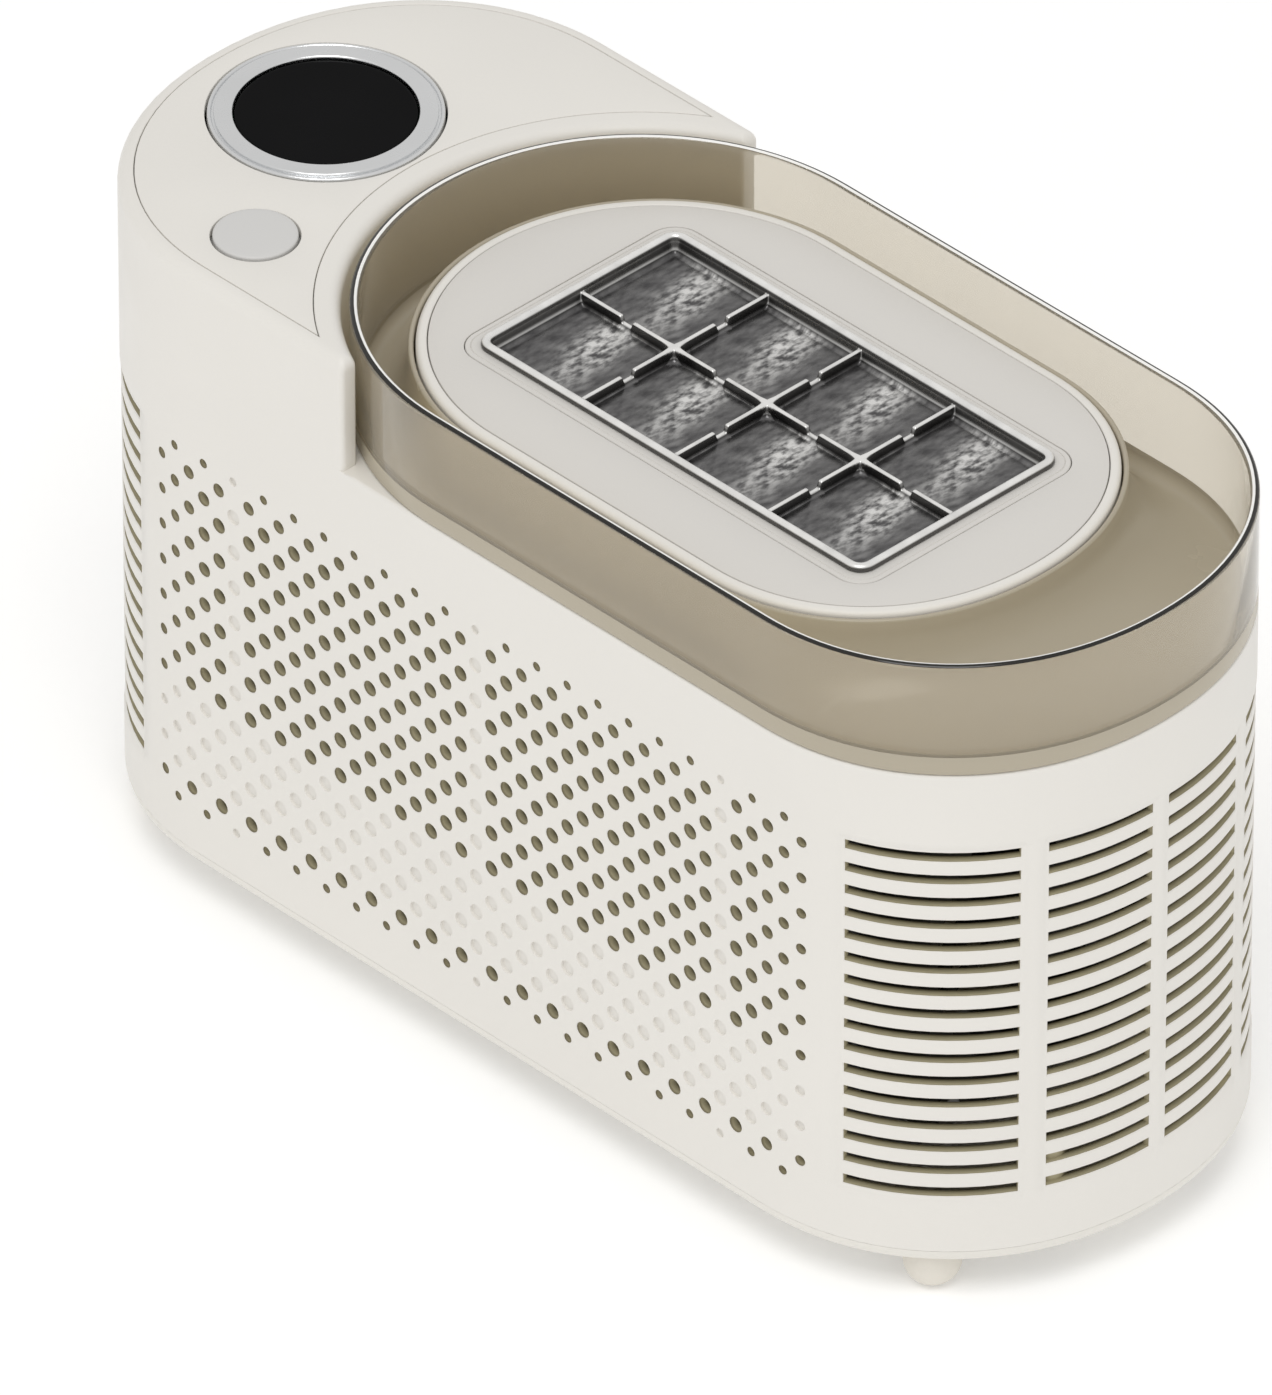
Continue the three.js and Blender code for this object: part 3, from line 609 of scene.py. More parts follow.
def tower_ring(distances, side_inset, front_inset, height):
    """The tower's crescent outline: points on the round rear, then horn, hollow and horn."""
    radius = END_RADIUS - side_inset
    hollow = HOLLOW_RADIUS + front_inset
    front = HORN_Y + front_inset
    width = radius - math.sqrt(hollow ** 2 - (front - HOLLOW_Y) ** 2)
    corner = min(HORN_CORNER, 0.45 * width) if width > THIN_HORN else 0
    start = front + corner if corner else HOLLOW_Y + math.sqrt(hollow ** 2 - radius ** 2)
    outer = []
    for distance in distances:
        x, y, _ = on_wall(distance, side_inset, height)
        if y < END_Y:
            y = start + (y - HORN_START) * (END_Y - start) / (END_Y - HORN_START)
        outer.append((x, y, height))
    horn = horn_points(radius, hollow, start, width, corner, height)
    tip = math.atan2(horn[-1][1] - HOLLOW_Y, horn[-1][0])
    angles = np.linspace(tip, math.pi - tip, 61)[1:-1]
    arc = [(hollow * math.cos(a), HOLLOW_Y + hollow * math.sin(a), height) for a in angles]
    mirrored = [(-x, y, z) for x, y, z in horn[::-1]]
    return outer, horn + arc + mirrored


def horn_points(radius, hollow, start, width, corner, height):
    """The right horn's front edge, from its outer corner to where the hollow begins."""
    steps = 5
    if not corner:
        return [(radius, start, height)] * (2 * steps)
    front = start - corner
    points = []
    for k in range(1, steps + 1):
        angle = -math.pi / 2 * k / steps
        points.append((
            radius - corner + corner * math.cos(angle), start + corner * math.sin(angle), height,
        ))
    x = radius - width
    first = math.atan2(front - HOLLOW_Y, x)
    past = first + 0.8 * corner / hollow
    end = (hollow * math.cos(past), HOLLOW_Y + hollow * math.sin(past))
    begin = (x + 0.5 * corner, front)
    for k in range(steps):
        t = k / (steps - 1)
        a, b, c = (1 - t) ** 2, 2 * t * (1 - t), t * t
        points.append((
            a * begin[0] + b * x + c * end[0], a * begin[1] + b * front + c * end[1], height,
        ))
    return points


def rear_indices(distances):
    """Ring points that belong to the tower, from its right horn round the rear to its left."""
    first, last = HORN_START - TINY, LEFT_MIDDLE - HORN_START + TINY
    return [k for k, distance in enumerate(distances) if first <= distance <= last]


def tower_profile():
    """Side inset, front inset and height of each tower ring, up from the deck and down inside."""
    straight_top = TOP - TOWER_FILLET
    profile = [(0, 0, z) for z in (DECK, DECK + 0.4, TOWER_MIDDLE, straight_top - 0.5)]
    for inset, height in arc_profile((TOWER_FILLET, straight_top), TOWER_FILLET, 180, 90, 7):
        profile.append((inset, inset, height))
    side, front = PANEL_SEAM
    chamfer, thick = 0.16, 1.6
    profile += [
        (side - chamfer, front - chamfer, TOP), (side, front, TOP - chamfer),
        (side, front, PANEL_SEAT), (side + 2, front + 1.6, PANEL_SEAT),
        (side + 2, front + 1.6, PANEL_SEAT - thick), (WALL, WALL, PANEL_SEAT - thick),
        (WALL, WALL, DECK - WALL),
    ]
    return profile


def body_wall(solid, distances, start_row, inset, heights):
    """Plain rings round the whole body, from an existing row. Returns the last one."""
    row = start_row
    for height in heights:
        following = solid.add(on_wall(s, inset, height) for s in distances)
        solid.strip(row, following)
        row = following
    return row


def deck_edge(solid, distances, row, rear):
    """Rounds the deck's front edge while the tower's walls go straight up."""
    in_rear = {rear[0] - 1, *rear, rear[-1] + 1}
    fillet = arc_profile((DECK_FILLET, DECK - DECK_FILLET), DECK_FILLET, 180, 90, 4)
    for inset, height in fillet[1:]:
        following = solid.add(
            on_wall(s, 0 if k in in_rear else inset, height) for k, s in enumerate(distances)
        )
        solid.strip(row, following)
        row = following
    return row


def body_shell():
    """Perforated walls, deck and hollowed tower, with four screw posts inside."""
    solid = Solid()
    side_end = math.degrees(np.interp(SIDE_REACH - END_Y, END_DISTANCES, END_ANGLES))
    edge = side_end + GRILLE_MARGIN
    rear_lines = zone_lines(REAR_COLUMNS, edge, 180 - edge, INLET_LINES)
    front_lines = zone_lines(FRONT_COLUMNS, 180 + edge, 360 - edge)
    distances = wall_distances(rear_lines, front_lines)
    rear = rear_indices(distances)
    bottom_out, top_out, bottom_in, top_in = perforated_band(solid, rear_lines, front_lines)
    lower = body_wall(solid, distances, bottom_out, 0, [SEAM_TOP - 0.2])
    lower_in = body_wall(solid, distances, bottom_in, WALL, [SEAM_TOP - 0.2])
    solid.strip(lower, lower_in)
    flat_top = DECK - DECK_FILLET
    upper_rings = (118, 126, flat_top - 0.3, flat_top)
    outer_row = body_wall(solid, distances, top_out, 0, upper_rings)
    outer_row = deck_edge(solid, distances, outer_row, rear)
    inner_row = solid.add(inner_deck_row(distances, rear, DECK - WALL))
    solid.strip(top_in, inner_row)
    tower_and_deck(solid, distances, rear, outer_row, inner_row)
    for _, x, y in corners(SCREW_X, SCREW_Y):
        solid.turned_ring(POST_PROFILE, (x, y), 24)
    return solid


def inner_deck_row(distances, rear, under):
    """The inner wall's top row, moved to meet the tower's inner outline."""
    outside, _ = tower_ring([distances[k] for k in rear], WALL, WALL, under)
    moved = dict(zip(rear, outside))
    return [moved.get(k, on_wall(s, WALL, under)) for k, s in enumerate(distances)]


def tower_and_deck(solid, distances, rear, outer_row, inner_row):
    """Closes the body's top: tower walls, deck, platform opening and the deck's underside."""
    tower_distances = [distances[k] for k in rear]
    count = len(rear)
    profile = tower_profile()
    rows = []
    for number, (side, front, height) in enumerate(profile):
        outside, face = tower_ring(tower_distances, side, front, height)
        if number == 0:
            row = [outer_row[k] for k in rear] + solid.add(face[::-1])
        elif number == len(profile) - 1:
            row = [inner_row[k] for k in rear] + solid.add(face[::-1])
        else:
            row = solid.add(outside + face[::-1])
        rows.append(row)
    for row, other in zip(rows, rows[1:]):
        solid.strip(row, other)
    in_rear = set(rear)
    others = [k for k in range(len(distances)) if k not in in_rear]
    split = next(n for n, k in enumerate(others) if k > rear[-1])
    front_order = others[split:] + others[:split]
    loops = []
    for height, ring, row in ((DECK, outer_row, rows[0]), (DECK - WALL, inner_row, rows[-1])):
        boundary = [row[count - 1]] + [ring[k] for k in front_order] + [row[0]]
        boundary += row[count:][::-1]
        opening = solid.add(platform_outline(DECK_OPENING, height, 40))
        solid.fill(boundary, opening)
        loops.append(opening)
    solid.strip(*loops)


# ---------------------------------------------------------------- base, panel and controls


def corners(x, y):
    """Names and places of four pieces, one near each end of both sides."""
    return [
        (f"{end}_{side}", x * across, y * along)
        for end, along in (("front", -1), ("rear", 1))
        for side, across in (("left", -1), ("right", 1))
    ]


def base_pan():
    """Tray with a rounded lower edge, foot holes and countersunk screw holes."""
    solid = Solid()
    low, top, rounding, floor = pan_low.z, SEAM_TOP - 0.26, 2.4, pan_low.z + 3
    profile = [(0, top), (0, low + rounding + 0.5)]
    profile += arc_profile((rounding, low + rounding), rounding, 180, 270, 7)
    inner_profile = ((WALL, top), (WALL, floor + 0.6), (WALL + 0.6, floor))
    outer, inner = (
        [outline(END_RADIUS - inset, -END_Y, END_Y, z, BODY_ENDS) for inset, z in side]
        for side in (profile, inner_profile)
    )
    outer_rows, inner_rows = solid.rings(outer), solid.rings(inner)
    solid.strip(outer_rows[0], inner_rows[0])
    foot_hole = ((2.3, low), (2.3, floor))
    screw_hole = ((3.6, low), (3.3, low + 0.3), (3.3, low + 2), (1.7, low + 2), (1.7, floor))
    under, over = [outer_rows[-1]], [inner_rows[-1]]
    feet, screws = corners(FOOT_X, FOOT_Y), corners(SCREW_X, SCREW_Y)
    for places, hole, steps in ((feet, foot_hole, 24), (screws, screw_hole, 32)):
        for _, *centre in places:
            rows = solid.rings([circle(radius, z, centre, steps) for radius, z in hole])
            under.append(rows[0])
            over.append(rows[-1])
    solid.fill(*under)
    solid.fill(*over)
    return solid


def flat_plate(edge, holes, low, high, rounding):
    """Plate with softened upper edges. edge and holes make a ring for an inset and a height."""
    solid = Solid()
    profile = [(0, low), (0, high - rounding)]
    profile += arc_profile((rounding, high - rounding), rounding, 180, 90, 3)[1:]
    loops = [solid.rings([edge(inset, z) for inset, z in profile])]
    loops += [solid.rings([hole(-inset, z) for inset, z in profile]) for hole in holes]
    for end in (-1, 0):
        solid.fill(*[rows[end] for rows in loops])
    return solid


def round_hole(radius, centre, steps):
    return lambda inset, z: circle(radius - inset, z, centre, steps)


def top_panel():
    """The tower's flat top, with a fine gap all round it and holes for the display and button."""
    side, front = (seam + SEAM_GAP for seam in PANEL_SEAM)
    rear_lines = [angle_to_distance(a) for a in spread(0, 180, END_STEP)]
    distances = spread(HORN_START, END_Y, 6)[:-1] + rear_lines
    distances += [LEFT_MIDDLE - y for y in spread(END_Y, HORN_START, 6)[1:]]

    def edge(inset, z):
        outside, face = tower_ring(distances, side + inset, front + inset, z)
        ring = outside + face[::-1]
        return [p for p, q in zip(ring, ring[1:] + ring[:1]) if math.dist(p, q) > TINY]

    holes = [
        round_hole(BEZEL_RADIUS + 0.45, (0, DISPLAY_Y), 96),
        round_hole(BUTTON_RADIUS + 0.55, (BUTTON_X, BUTTON_Y), 64),
    ]
    return flat_plate(edge, holes, TOP - 2.1, TOP, PLATE_ROUNDING)


def display_bezel():
    """Silver ring with a rounded crest, a fine groove and a thin outer lip."""
    inner, low, top = 19.4, bezel_low.z, bezel_high.z
    profile = [(inner, low), (inner, top - 0.75)]
    profile += arc_profile((inner + 0.5, top - 0.62), 0.5, 180, 90, 4)
    profile += [(21.2, top), (22.9, top - 0.06)]
    profile += arc_profile((23.0, top - 0.45), 0.36, 80, 10, 3)
    profile += [(23.42, top - 0.9), (23.8, top - 0.9)]
    profile += arc_profile((24.3, top - 0.8), 0.42, 160, 20, 5)
    profile += [(BEZEL_RADIUS, top - 1.1), (BEZEL_RADIUS, low)]
    return Solid().turned_ring(profile, (0, DISPLAY_Y), 128)


def display_lens():
    """Round black window with a softened edge."""
    radius, top = lens_high.x, lens_high.z
    profile = [(radius, lens_low.z)]
    profile += arc_profile((radius - 0.35, top - 0.35), 0.35, 0, 90, 4)
    profile += [(radius - 0.9, top), (9, top)]
    return Solid().turned(profile, (0, DISPLAY_Y), 96)


def start_button():
    """Slightly domed disc on a wider flange, with its plunger below."""
    plunger, flange = 1.8, BUTTON_RADIUS + 1.6
    flange_low, flange_high, top = 156.6, TOP - 2.7, button_high.z
    profile = [(plunger, button_low.z), (plunger, flange_low), (flange, flange_low)]
    profile += [(flange, flange_high), (BUTTON_RADIUS, flange_high), (BUTTON_RADIUS, top - 0.9)]
    profile += arc_profile((BUTTON_RADIUS - 0.55, top - 0.75), 0.55, 0, 75, 5)
    crown = 0.22
    profile += [(r, top - crown * (r / BUTTON_RADIUS) ** 2) for r in (7.6, 6, 4, 2, 0.6)]
    return Solid().turned(profile, (BUTTON_X, BUTTON_Y), 64)


def button_spring():
    """Coil of round wire between the control board and the button."""
    solid = Solid()
    wire, turns, steps = 0.45, 4, 24
    low, high = spring_low.z + wire, spring_high.z - wire
    reach = (spring_high.x - spring_low.x) / 2 - wire
    centre = (spring_low + spring_high) / 2
    rings = []
    for k in range(turns * steps + 1):
        turn = 2 * math.pi * k / steps
        height = low + (high - low) * k / (turns * steps)
        section = arc_profile((reach, height), wire, 0, 315, 7)
        rings.append([
            (centre.x + r * math.cos(turn), centre.y + r * math.sin(turn), z) for r, z in section
        ])
    rows = solid.rings(rings)
    solid.faces += [tuple(rows[0]), tuple(rows[-1])]
    return solid


def foot(x, y):
    """Domed rubber foot with a stem up into the base."""
    radius, rounding = 6.15, 5.6
    profile = [(1.6, 0)]
    profile += arc_profile((radius - rounding, rounding), rounding, -68, 0, 10)
    profile += [(radius, 9.75), (2, 9.75), (2, 14)]
    return Solid().turned(profile, (x, y), 40)


# ---------------------------------------------------------------- tub and platform


TUB_FLOOR = tub_low.z + 1.8
TUB_BEND = 2.6                           # bend between the tub's outer wall and its floor
TUB_WALL = 2


def ice_tub():
    """Trough with a rounded rim, and a floor that sweeps up to a wall close to the platform."""
    low, top, wall, foot_edge = tub_low.z, tub_high.z, TUB_WALL, 0.3
    profile = arc_profile((foot_edge, low + foot_edge), foot_edge, 270, 180, 3)
    profile += [(0, TUB_FLOOR + TUB_BEND), (0, top - 1.3)]
    profile += arc_profile((wall / 2, top - wall / 2), wall / 2, 180, 0, 10)
    profile += [(wall, top - 1.3)]
    profile += arc_profile((wall + TUB_BEND, TUB_FLOOR + TUB_BEND), TUB_BEND, 180, 270, 8)
    rings = [
        outline(END_RADIUS - inset, -END_Y, HOLLOW_Y, z, TUB_ENDS, 64, 8)
        for inset, z in profile
    ]
    inner, thick, inner_top = PLATFORM_RADIUS + 0.4, 1.2, 153.2
    edge = platform_outline(inner + thick, 0)
    rings += swept_floor(rings[-1], edge, inner_top - thick / 2)
    profile = arc_profile((inner + thick / 2, inner_top - thick / 2), thick / 2, 0, 180, 8)[1:]
    profile += [(inner, low + foot_edge), (inner + foot_edge, low)]
    rings += [platform_outline(radius, z) for radius, z in profile]
    return Solid().closed_rings(rings)


SWEEP_SHARES = (
    0.12, 0.25, 0.37, 0.48, 0.58, 0.67, 0.75, 0.82, 0.88, 0.93, 0.965, 0.985, 0.996, 1,
)


def swept_floor(start, end, top):
    """Rings from the floor's outer edge to the inner wall's top, level at first, then upright."""
    rings = []
    for share in SWEEP_SHARES:
        height = TUB_FLOOR + (top - TUB_FLOOR) * (1 - (1 - share ** 2.6) ** 0.42)
        rings.append([
            (a[0] + (b[0] - a[0]) * share, a[1] + (b[1] - a[1]) * share, height)
            for a, b in zip(start, end)
        ])
    return rings


def tub_inset(point):
    """How far a point lies inside the tub's outer wall, whose rear end is round."""
    if point.y > HOLLOW_Y:
        return END_RADIUS - math.hypot(point.x, point.y - HOLLOW_Y)
    return wall_inset(point)


def is_trough(point):
    """Whether a point of the tub is on its floor, its base band or its inner wall."""
    return tub_inset(point) > TUB_WALL + 0.1 or point.z < TUB_FLOOR + TUB_BEND


# the rim's outer half gets a painted dark reflection line
def is_outer_rim(point):
    return tub_inset(point) < TUB_WALL / 2 and point.z > tub_high.z - 0.35


# the rim's inner top gets a painted highlight line
def is_inner_rim(point):
    return tub_inset(point) > TUB_WALL / 2 and point.z > tub_high.z - 0.15


def platform_wall():
    """Wall with a rounded rim, and a ledge inside it for the plate."""
    top, low, seat = platform_high.z, platform_low.z, plate_low.z - 0.3
    fillet, rim = 1.2, PLATE_INSET - 0.1
    ledge = PLATE_INSET + 2.5
    profile = [(0, low), (0, top - fillet - 0.4)]
    profile += arc_profile((fillet, top - fillet), fillet, 180, 90, 6)
    profile += [(rim - 0.2, top), (rim, top - 0.2), (rim, seat), (ledge, seat)]
    profile += [(ledge, seat - 1.7), (WALL, seat - 1.7), (WALL, low)]
    rings = [platform_outline(PLATFORM_RADIUS - inset, z) for inset, z in profile]
    return Solid().closed_rings(rings)


def rounded_rectangle(half_x, half_y, corner, height):
    """A ring round the mold's middle, from its right side counter-clockwise."""
    ring = []
    steps = 8
    for number, (sx, sy) in enumerate(((1, 1), (-1, 1), (-1, -1), (1, -1))):
        for k in range(steps + 1):
            angle = math.pi / 2 * (number + k / steps)
            ring.append((
                sx * (half_x - corner) + corner * math.cos(angle),
                MOLD_Y + sy * (half_y - corner) + corner * math.sin(angle), height,
            ))
    return ring


MOLD_Y = (mold_low.y + mold_high.y) / 2
RIM_X = mold_high.x
RIM_Y = (mold_high.y - mold_low.y) / 2
TRIM_X = RIM_X + 3.2
TRIM_Y = RIM_Y + 3.2
TRIM_CORNER = 6.5


def trim_outline(inset, height):
    return rounded_rectangle(TRIM_X - inset, TRIM_Y - inset, TRIM_CORNER - inset, height)


def platform_plate():
    """The platform's flat top, with an opening for the mold's frame."""
    def edge(inset, z):
        return platform_outline(PLATFORM_RADIUS - PLATE_INSET - 0.15 - inset, z)

    return flat_plate(edge, [trim_outline], plate_low.z, plate_high.z, PLATE_ROUNDING)


def mold_trim():
    """Frame round the mold with a fine groove in its top, on a flange under the plate."""
    top, low = trim_high.z, trim_low.z
    flange = low + 1.3
    steps = [(-2.3, low), (-2.3, flange), (SEAM_GAP, flange), (SEAM_GAP, top - 0.18), (0.4, top)]
    groove = [(1.25, top), (1.4, top - 0.2), (1.55, top)]
    half_x, half_y = RIM_X - 0.9, RIM_Y - 0.9
    rings = [trim_outline(inset, z) for inset, z in steps + groove]
    rings += [
        rounded_rectangle(half_x + grow, half_y + grow, 3.5 + grow, z)
        for grow, z in ((0.15, top), (0, top - 0.15), (0, low))
    ]
    return Solid().closed_rings(rings)


# ---------------------------------------------------------------- mold

CELLS_X = 2
CELLS_Y = 4
RIM = 2.2
OPEN_X = RIM_X - RIM
OPEN_Y = RIM_Y - RIM
PITCH_X = 2 * OPEN_X / CELLS_X
PITCH_Y = 2 * OPEN_Y / CELLS_Y
RIM_TOP = mold_high.z
BAR_TOP = RIM_TOP - 1.3
CELL_FLOOR = BAR_TOP - 2.4
MOLD_CORNER = 4
RIM_STEPS = (0, 0.1, 0.35, 0.7, 1.1, 1.5, 1.85, 2.1, 2.2, 2.32, 2.5, 2.75, 3.2, 3.8, 4.6, 6)
BAR_CREST = 0.42                         # half the width of a bar's crest
BAR_SLOPE = 0.75                         # how far a bar's side runs out
BAR_STEPS = (0, 0.22, 0.42, 0.51, 0.62, 0.76, 0.94, 1.17, 1.6, 2.4, 3.6, 5)
SPILL_STEPS = (0, 0.8, 1.25, 1.45, 1.75, 2, 2.6, 5)
SPILL_DEPTH = 1.5                        # dip in each bar, where water runs from cell to cell
RIM_BEAD = 1.1
CROSS_FLARE = 0.75                       # bars widen by this share where they cross


def smooth_step(x):
    x = min(1, max(0, x))
    return x * x * (3 - 2 * x)


def bar_places(cells, pitch):
    return [(bar - cells / 2) * pitch for bar in range(1, cells)]


def cell_places(cells, pitch):
    return [(cell - (cells - 1) / 2) * pitch for cell in range(cells)]


def mold_lines(half, cells, pitch):
    """Grid lines over the mold in one direction, with no two closer than a twentieth."""
    lines = []
    for side in (-1, 1):
        lines += [side * (half - step) for step in RIM_STEPS]
        for centre in bar_places(cells, pitch):
            lines += [centre + side * step for step in BAR_STEPS]
        for centre in cell_places(cells, pitch):
            lines += [centre + side * step for step in SPILL_STEPS]
    kept = []
    for line in sorted(lines):
        if not kept or line - kept[-1] > 0.05:
            kept.append(line)
    return kept


def edge_height(inset):
    """The rim's round bead and the cell wall inside it, by distance from the outer edge."""
    bead_middle = RIM_TOP - RIM_BEAD
    if inset <= 2 * RIM_BEAD:
        return bead_middle + math.sqrt(max(0, RIM_BEAD ** 2 - (inset - RIM_BEAD) ** 2))
    drop = smooth_step((inset - 2 * RIM_BEAD) / 1.5)
    return bead_middle + (CELL_FLOOR - bead_middle) * drop ** 0.6


def bar_height(distance, top):
    """A bar between cells, by distance from its middle."""
    rounding = 0.12
    if distance <= BAR_CREST:
        return top - rounding * (distance / BAR_CREST) ** 2
    drop = smooth_step((distance - BAR_CREST) / BAR_SLOPE) ** 0.7
    return CELL_FLOOR + (top - rounding - CELL_FLOOR) * (1 - drop)


def nearest(value, places):
    """Distance from a value to the nearest of some places."""
    return min(abs(value - place) for place in places)


def bar_top(along, cells, pitch):
    """Height of a bar's crest: full, with a dip in the middle of each cell's side."""
    dip = 1 - smooth_step((nearest(along, cell_places(cells, pitch)) - 1.25) / 0.7)
    return BAR_TOP - SPILL_DEPTH * dip


def mold_height(x, y):
    """Height of the mold's surface: the highest of its rim and its two families of bars."""
    beside_x = nearest(x, bar_places(CELLS_X, PITCH_X))
    beside_y = nearest(y, bar_places(CELLS_Y, PITCH_Y))
    flare_x, flare_y = (
        1 + CROSS_FLARE * math.exp(-((crossing / 1.9) ** 2)) for crossing in (beside_y, beside_x)
    )
    return max(
        edge_height(min(RIM_X - abs(x), RIM_Y - abs(y))),
        bar_height(beside_x / flare_x, bar_top(y, CELLS_Y, PITCH_Y)),
        bar_height(beside_y / flare_y, bar_top(x, CELLS_X, PITCH_X)),
    )


def round_corner(x, y, half_x, half_y, corner):
    """Moves a point near a square corner so that lines round the edge turn on an arc."""
    dx, dy = half_x - abs(x), half_y - abs(y)
    if dx >= corner or dy >= corner:
        return x, y
    inset = min(dx, dy)
    leg = corner - inset
    if leg < 1e-6:
        return x, y
    turn = (1 - (dy - inset) / leg) if dx <= dy else 1 + (dx - inset) / leg
    angle = math.pi / 4 * turn
    new_x = half_x - corner + leg * math.cos(angle)
    new_y = half_y - corner + leg * math.sin(angle)
    return math.copysign(new_x, x), math.copysign(new_y, y)


def ice_mold():
    """Tray of cells: a grid surface with a bead round it, closed by a skirt and a flat bottom."""
    solid = Solid()
    xs = mold_lines(RIM_X, CELLS_X, PITCH_X)
    ys = mold_lines(RIM_Y, CELLS_Y, PITCH_Y)
    grid = []
    for x in xs:
        column = []
        for y in ys:
            height = mold_height(x, y)
            px, py = round_corner(x, y, RIM_X, RIM_Y, MOLD_CORNER)
            column.append((px, MOLD_Y + py, height))
        grid.append(solid.add(column))
    for column, other in zip(grid, grid[1:]):
        solid.strip(column, other, closed=False)
    border = [(x, ys[0]) for x in xs[:-1]] + [(xs[-1], y) for y in ys[:-1]]
    border += [(x, ys[-1]) for x in xs[:0:-1]] + [(xs[0], y) for y in ys[:0:-1]]
    row = [column[0] for column in grid[:-1]] + grid[-1][:-1]
    row += [column[-1] for column in grid[:0:-1]] + grid[0][:0:-1]
    skirt, under_rim = 1.2, plate_high.z + 0.3
    for inset, z in ((0, under_rim), (skirt, under_rim), (skirt, mold_low.z)):
        half_x, half_y, corner = RIM_X - inset, RIM_Y - inset, MOLD_CORNER - inset
        points = [
            round_corner(x * half_x / RIM_X, y * half_y / RIM_Y, half_x, half_y, corner)
            for x, y in border
        ]
        following = solid.add((px, MOLD_Y + py, z) for px, py in points)
        solid.strip(row, following)
        row = following
    solid.faces.append(tuple(row))
    return solid


# ---------------------------------------------------------------- materials


def srgb(red, green, blue):
    def linear(c):
        c /= 255
        return c / 12.92 if c <= 0.04045 else ((c + 0.055) / 1.055) ** 2.4

    return (linear(red), linear(green), linear(blue), 1)


def shade(colour, factor):
    return tuple(min(1, c * factor) for c in colour[:3]) + (1,)


class Finish:
    """A Principled material, with procedural layers laid over it in the object's own space."""

    def __init__(self, name, colour, roughness, metallic=0, settings=None):
        self.material = bpy.data.materials.new(name)
        self.material.use_nodes = True
        self.tree = self.material.node_tree
        self.shader = self.tree.nodes["Principled BSDF"]
        self.colour = colour
        self.feed(self.shader, {
            "Base Color": colour, "Roughness": roughness, "Metallic": metallic, **(settings or {}),
        })
        self.space = self.node("ShaderNodeTexCoord").outputs["Object"]
        self.normal = None

    def feed(self, node, values):
        """Sets a node's inputs, or links those whose value is another node's output."""
        for socket, value in values.items():
            if isinstance(value, bpy.types.NodeSocket):
                self.tree.links.new(value, node.inputs[socket])
            else:
                node.inputs[socket].default_value = value
        return self

    def node(self, kind, values=None, **properties):
        made = self.tree.nodes.new(kind)
        for name, value in properties.items():
            setattr(made, name, value)
        self.feed(made, values or {})
        return made

    def look(self, **values):
        """Sets or links the shader's own inputs, named with underscores for spaces."""
        return self.feed(self.shader, {name.replace("_", " "): v for name, v in values.items()})

    def mapped(self, vector, **settings):
        return self.node("ShaderNodeMapping", {"Vector": vector, **settings}).outputs["Vector"]

    def noise(self, scale, detail, stretch=(1, 1, 1), contrast=(0.3, 0.7), space=None):
        """Noise from 0 to 1 whose features are about 1/scale metres wide."""
        space = space or self.mapped(self.space, Scale=stretch)
        values = {"Scale": scale, "Detail": detail, "Vector": space}
        return self.ranged(self.node("ShaderNodeTexNoise", values).outputs["Fac"], *contrast)

    def ranged(self, value, low, high, to=(0, 1)):
        """Brings a value between low and high to between 0 and 1, or two other values."""
        values = {
            "Value": value, "From Min": low, "From Max": high, "To Min": to[0], "To Max": to[1],
        }
        return self.node("ShaderNodeMapRange", values).outputs["Result"]

    def mix(self, factor, first, second):
        """Blends two colours. Each is a value or another node's output."""
        values = {0: factor, 6: first, 7: second}
        return self.node("ShaderNodeMix", values, data_type="RGBA").outputs[2]

    def math(self, operation, *values):
        values = dict(enumerate(values))
        return self.node("ShaderNodeMath", values, operation=operation).outputs[0]

    def axes(self, vector):
        return self.node("ShaderNodeSeparateXYZ", {0: vector}).outputs

    def mottle(self, scale, amount, stretch=(1, 1, 1)):
        """Slightly darker and lighter clouds in the colour."""
        dark, light = (shade(self.colour, factor) for factor in (1 - amount, 1 + amount))
        return self.look(Base_Color=self.mix(self.noise(scale, 4, stretch), dark, light))

    def worn(self, scale, low, high, stretch=(1, 1, 1)):
        """Roughness that drifts between two values."""
        return self.look(Roughness=self.ranged(self.noise(scale, 3, stretch), 0, 1, (low, high)))

    def bump(self, height, distance, strength):
        """Raises the surface by a height map, on top of any bump already there."""
        values = {"Strength": strength, "Distance": distance * MM, "Height": height}
        if self.normal:
            values["Normal"] = self.normal
        self.normal = self.node("ShaderNodeBump", values).outputs["Normal"]
        return self.look(Normal=self.normal)

    def grain(self, scale, distance, strength, stretch=(1, 1, 1)):
        return self.bump(self.noise(scale, 2, stretch), distance, strength)

    def layers(self, clouds, wear, grain, stretch=(1, 1, 1)):
        """The three layers most finishes have. Each is given as its method's numbers."""
        self.mottle(*clouds, stretch)
        self.worn(*wear, stretch)
        return self.grain(*grain, stretch)

    def see_through(self, factor, tint):
        """Lets light straight through, tinted, by a factor."""
        through = self.node("ShaderNodeBsdfTransparent", {"Color": tint})
        values = {0: factor, 1: self.shader.outputs[0], 2: through.outputs[0]}
        mixer = self.node("ShaderNodeMixShader", values)
        self.feed(self.tree.nodes["Material Output"], {"Surface": mixer.outputs[0]})
        return self.material


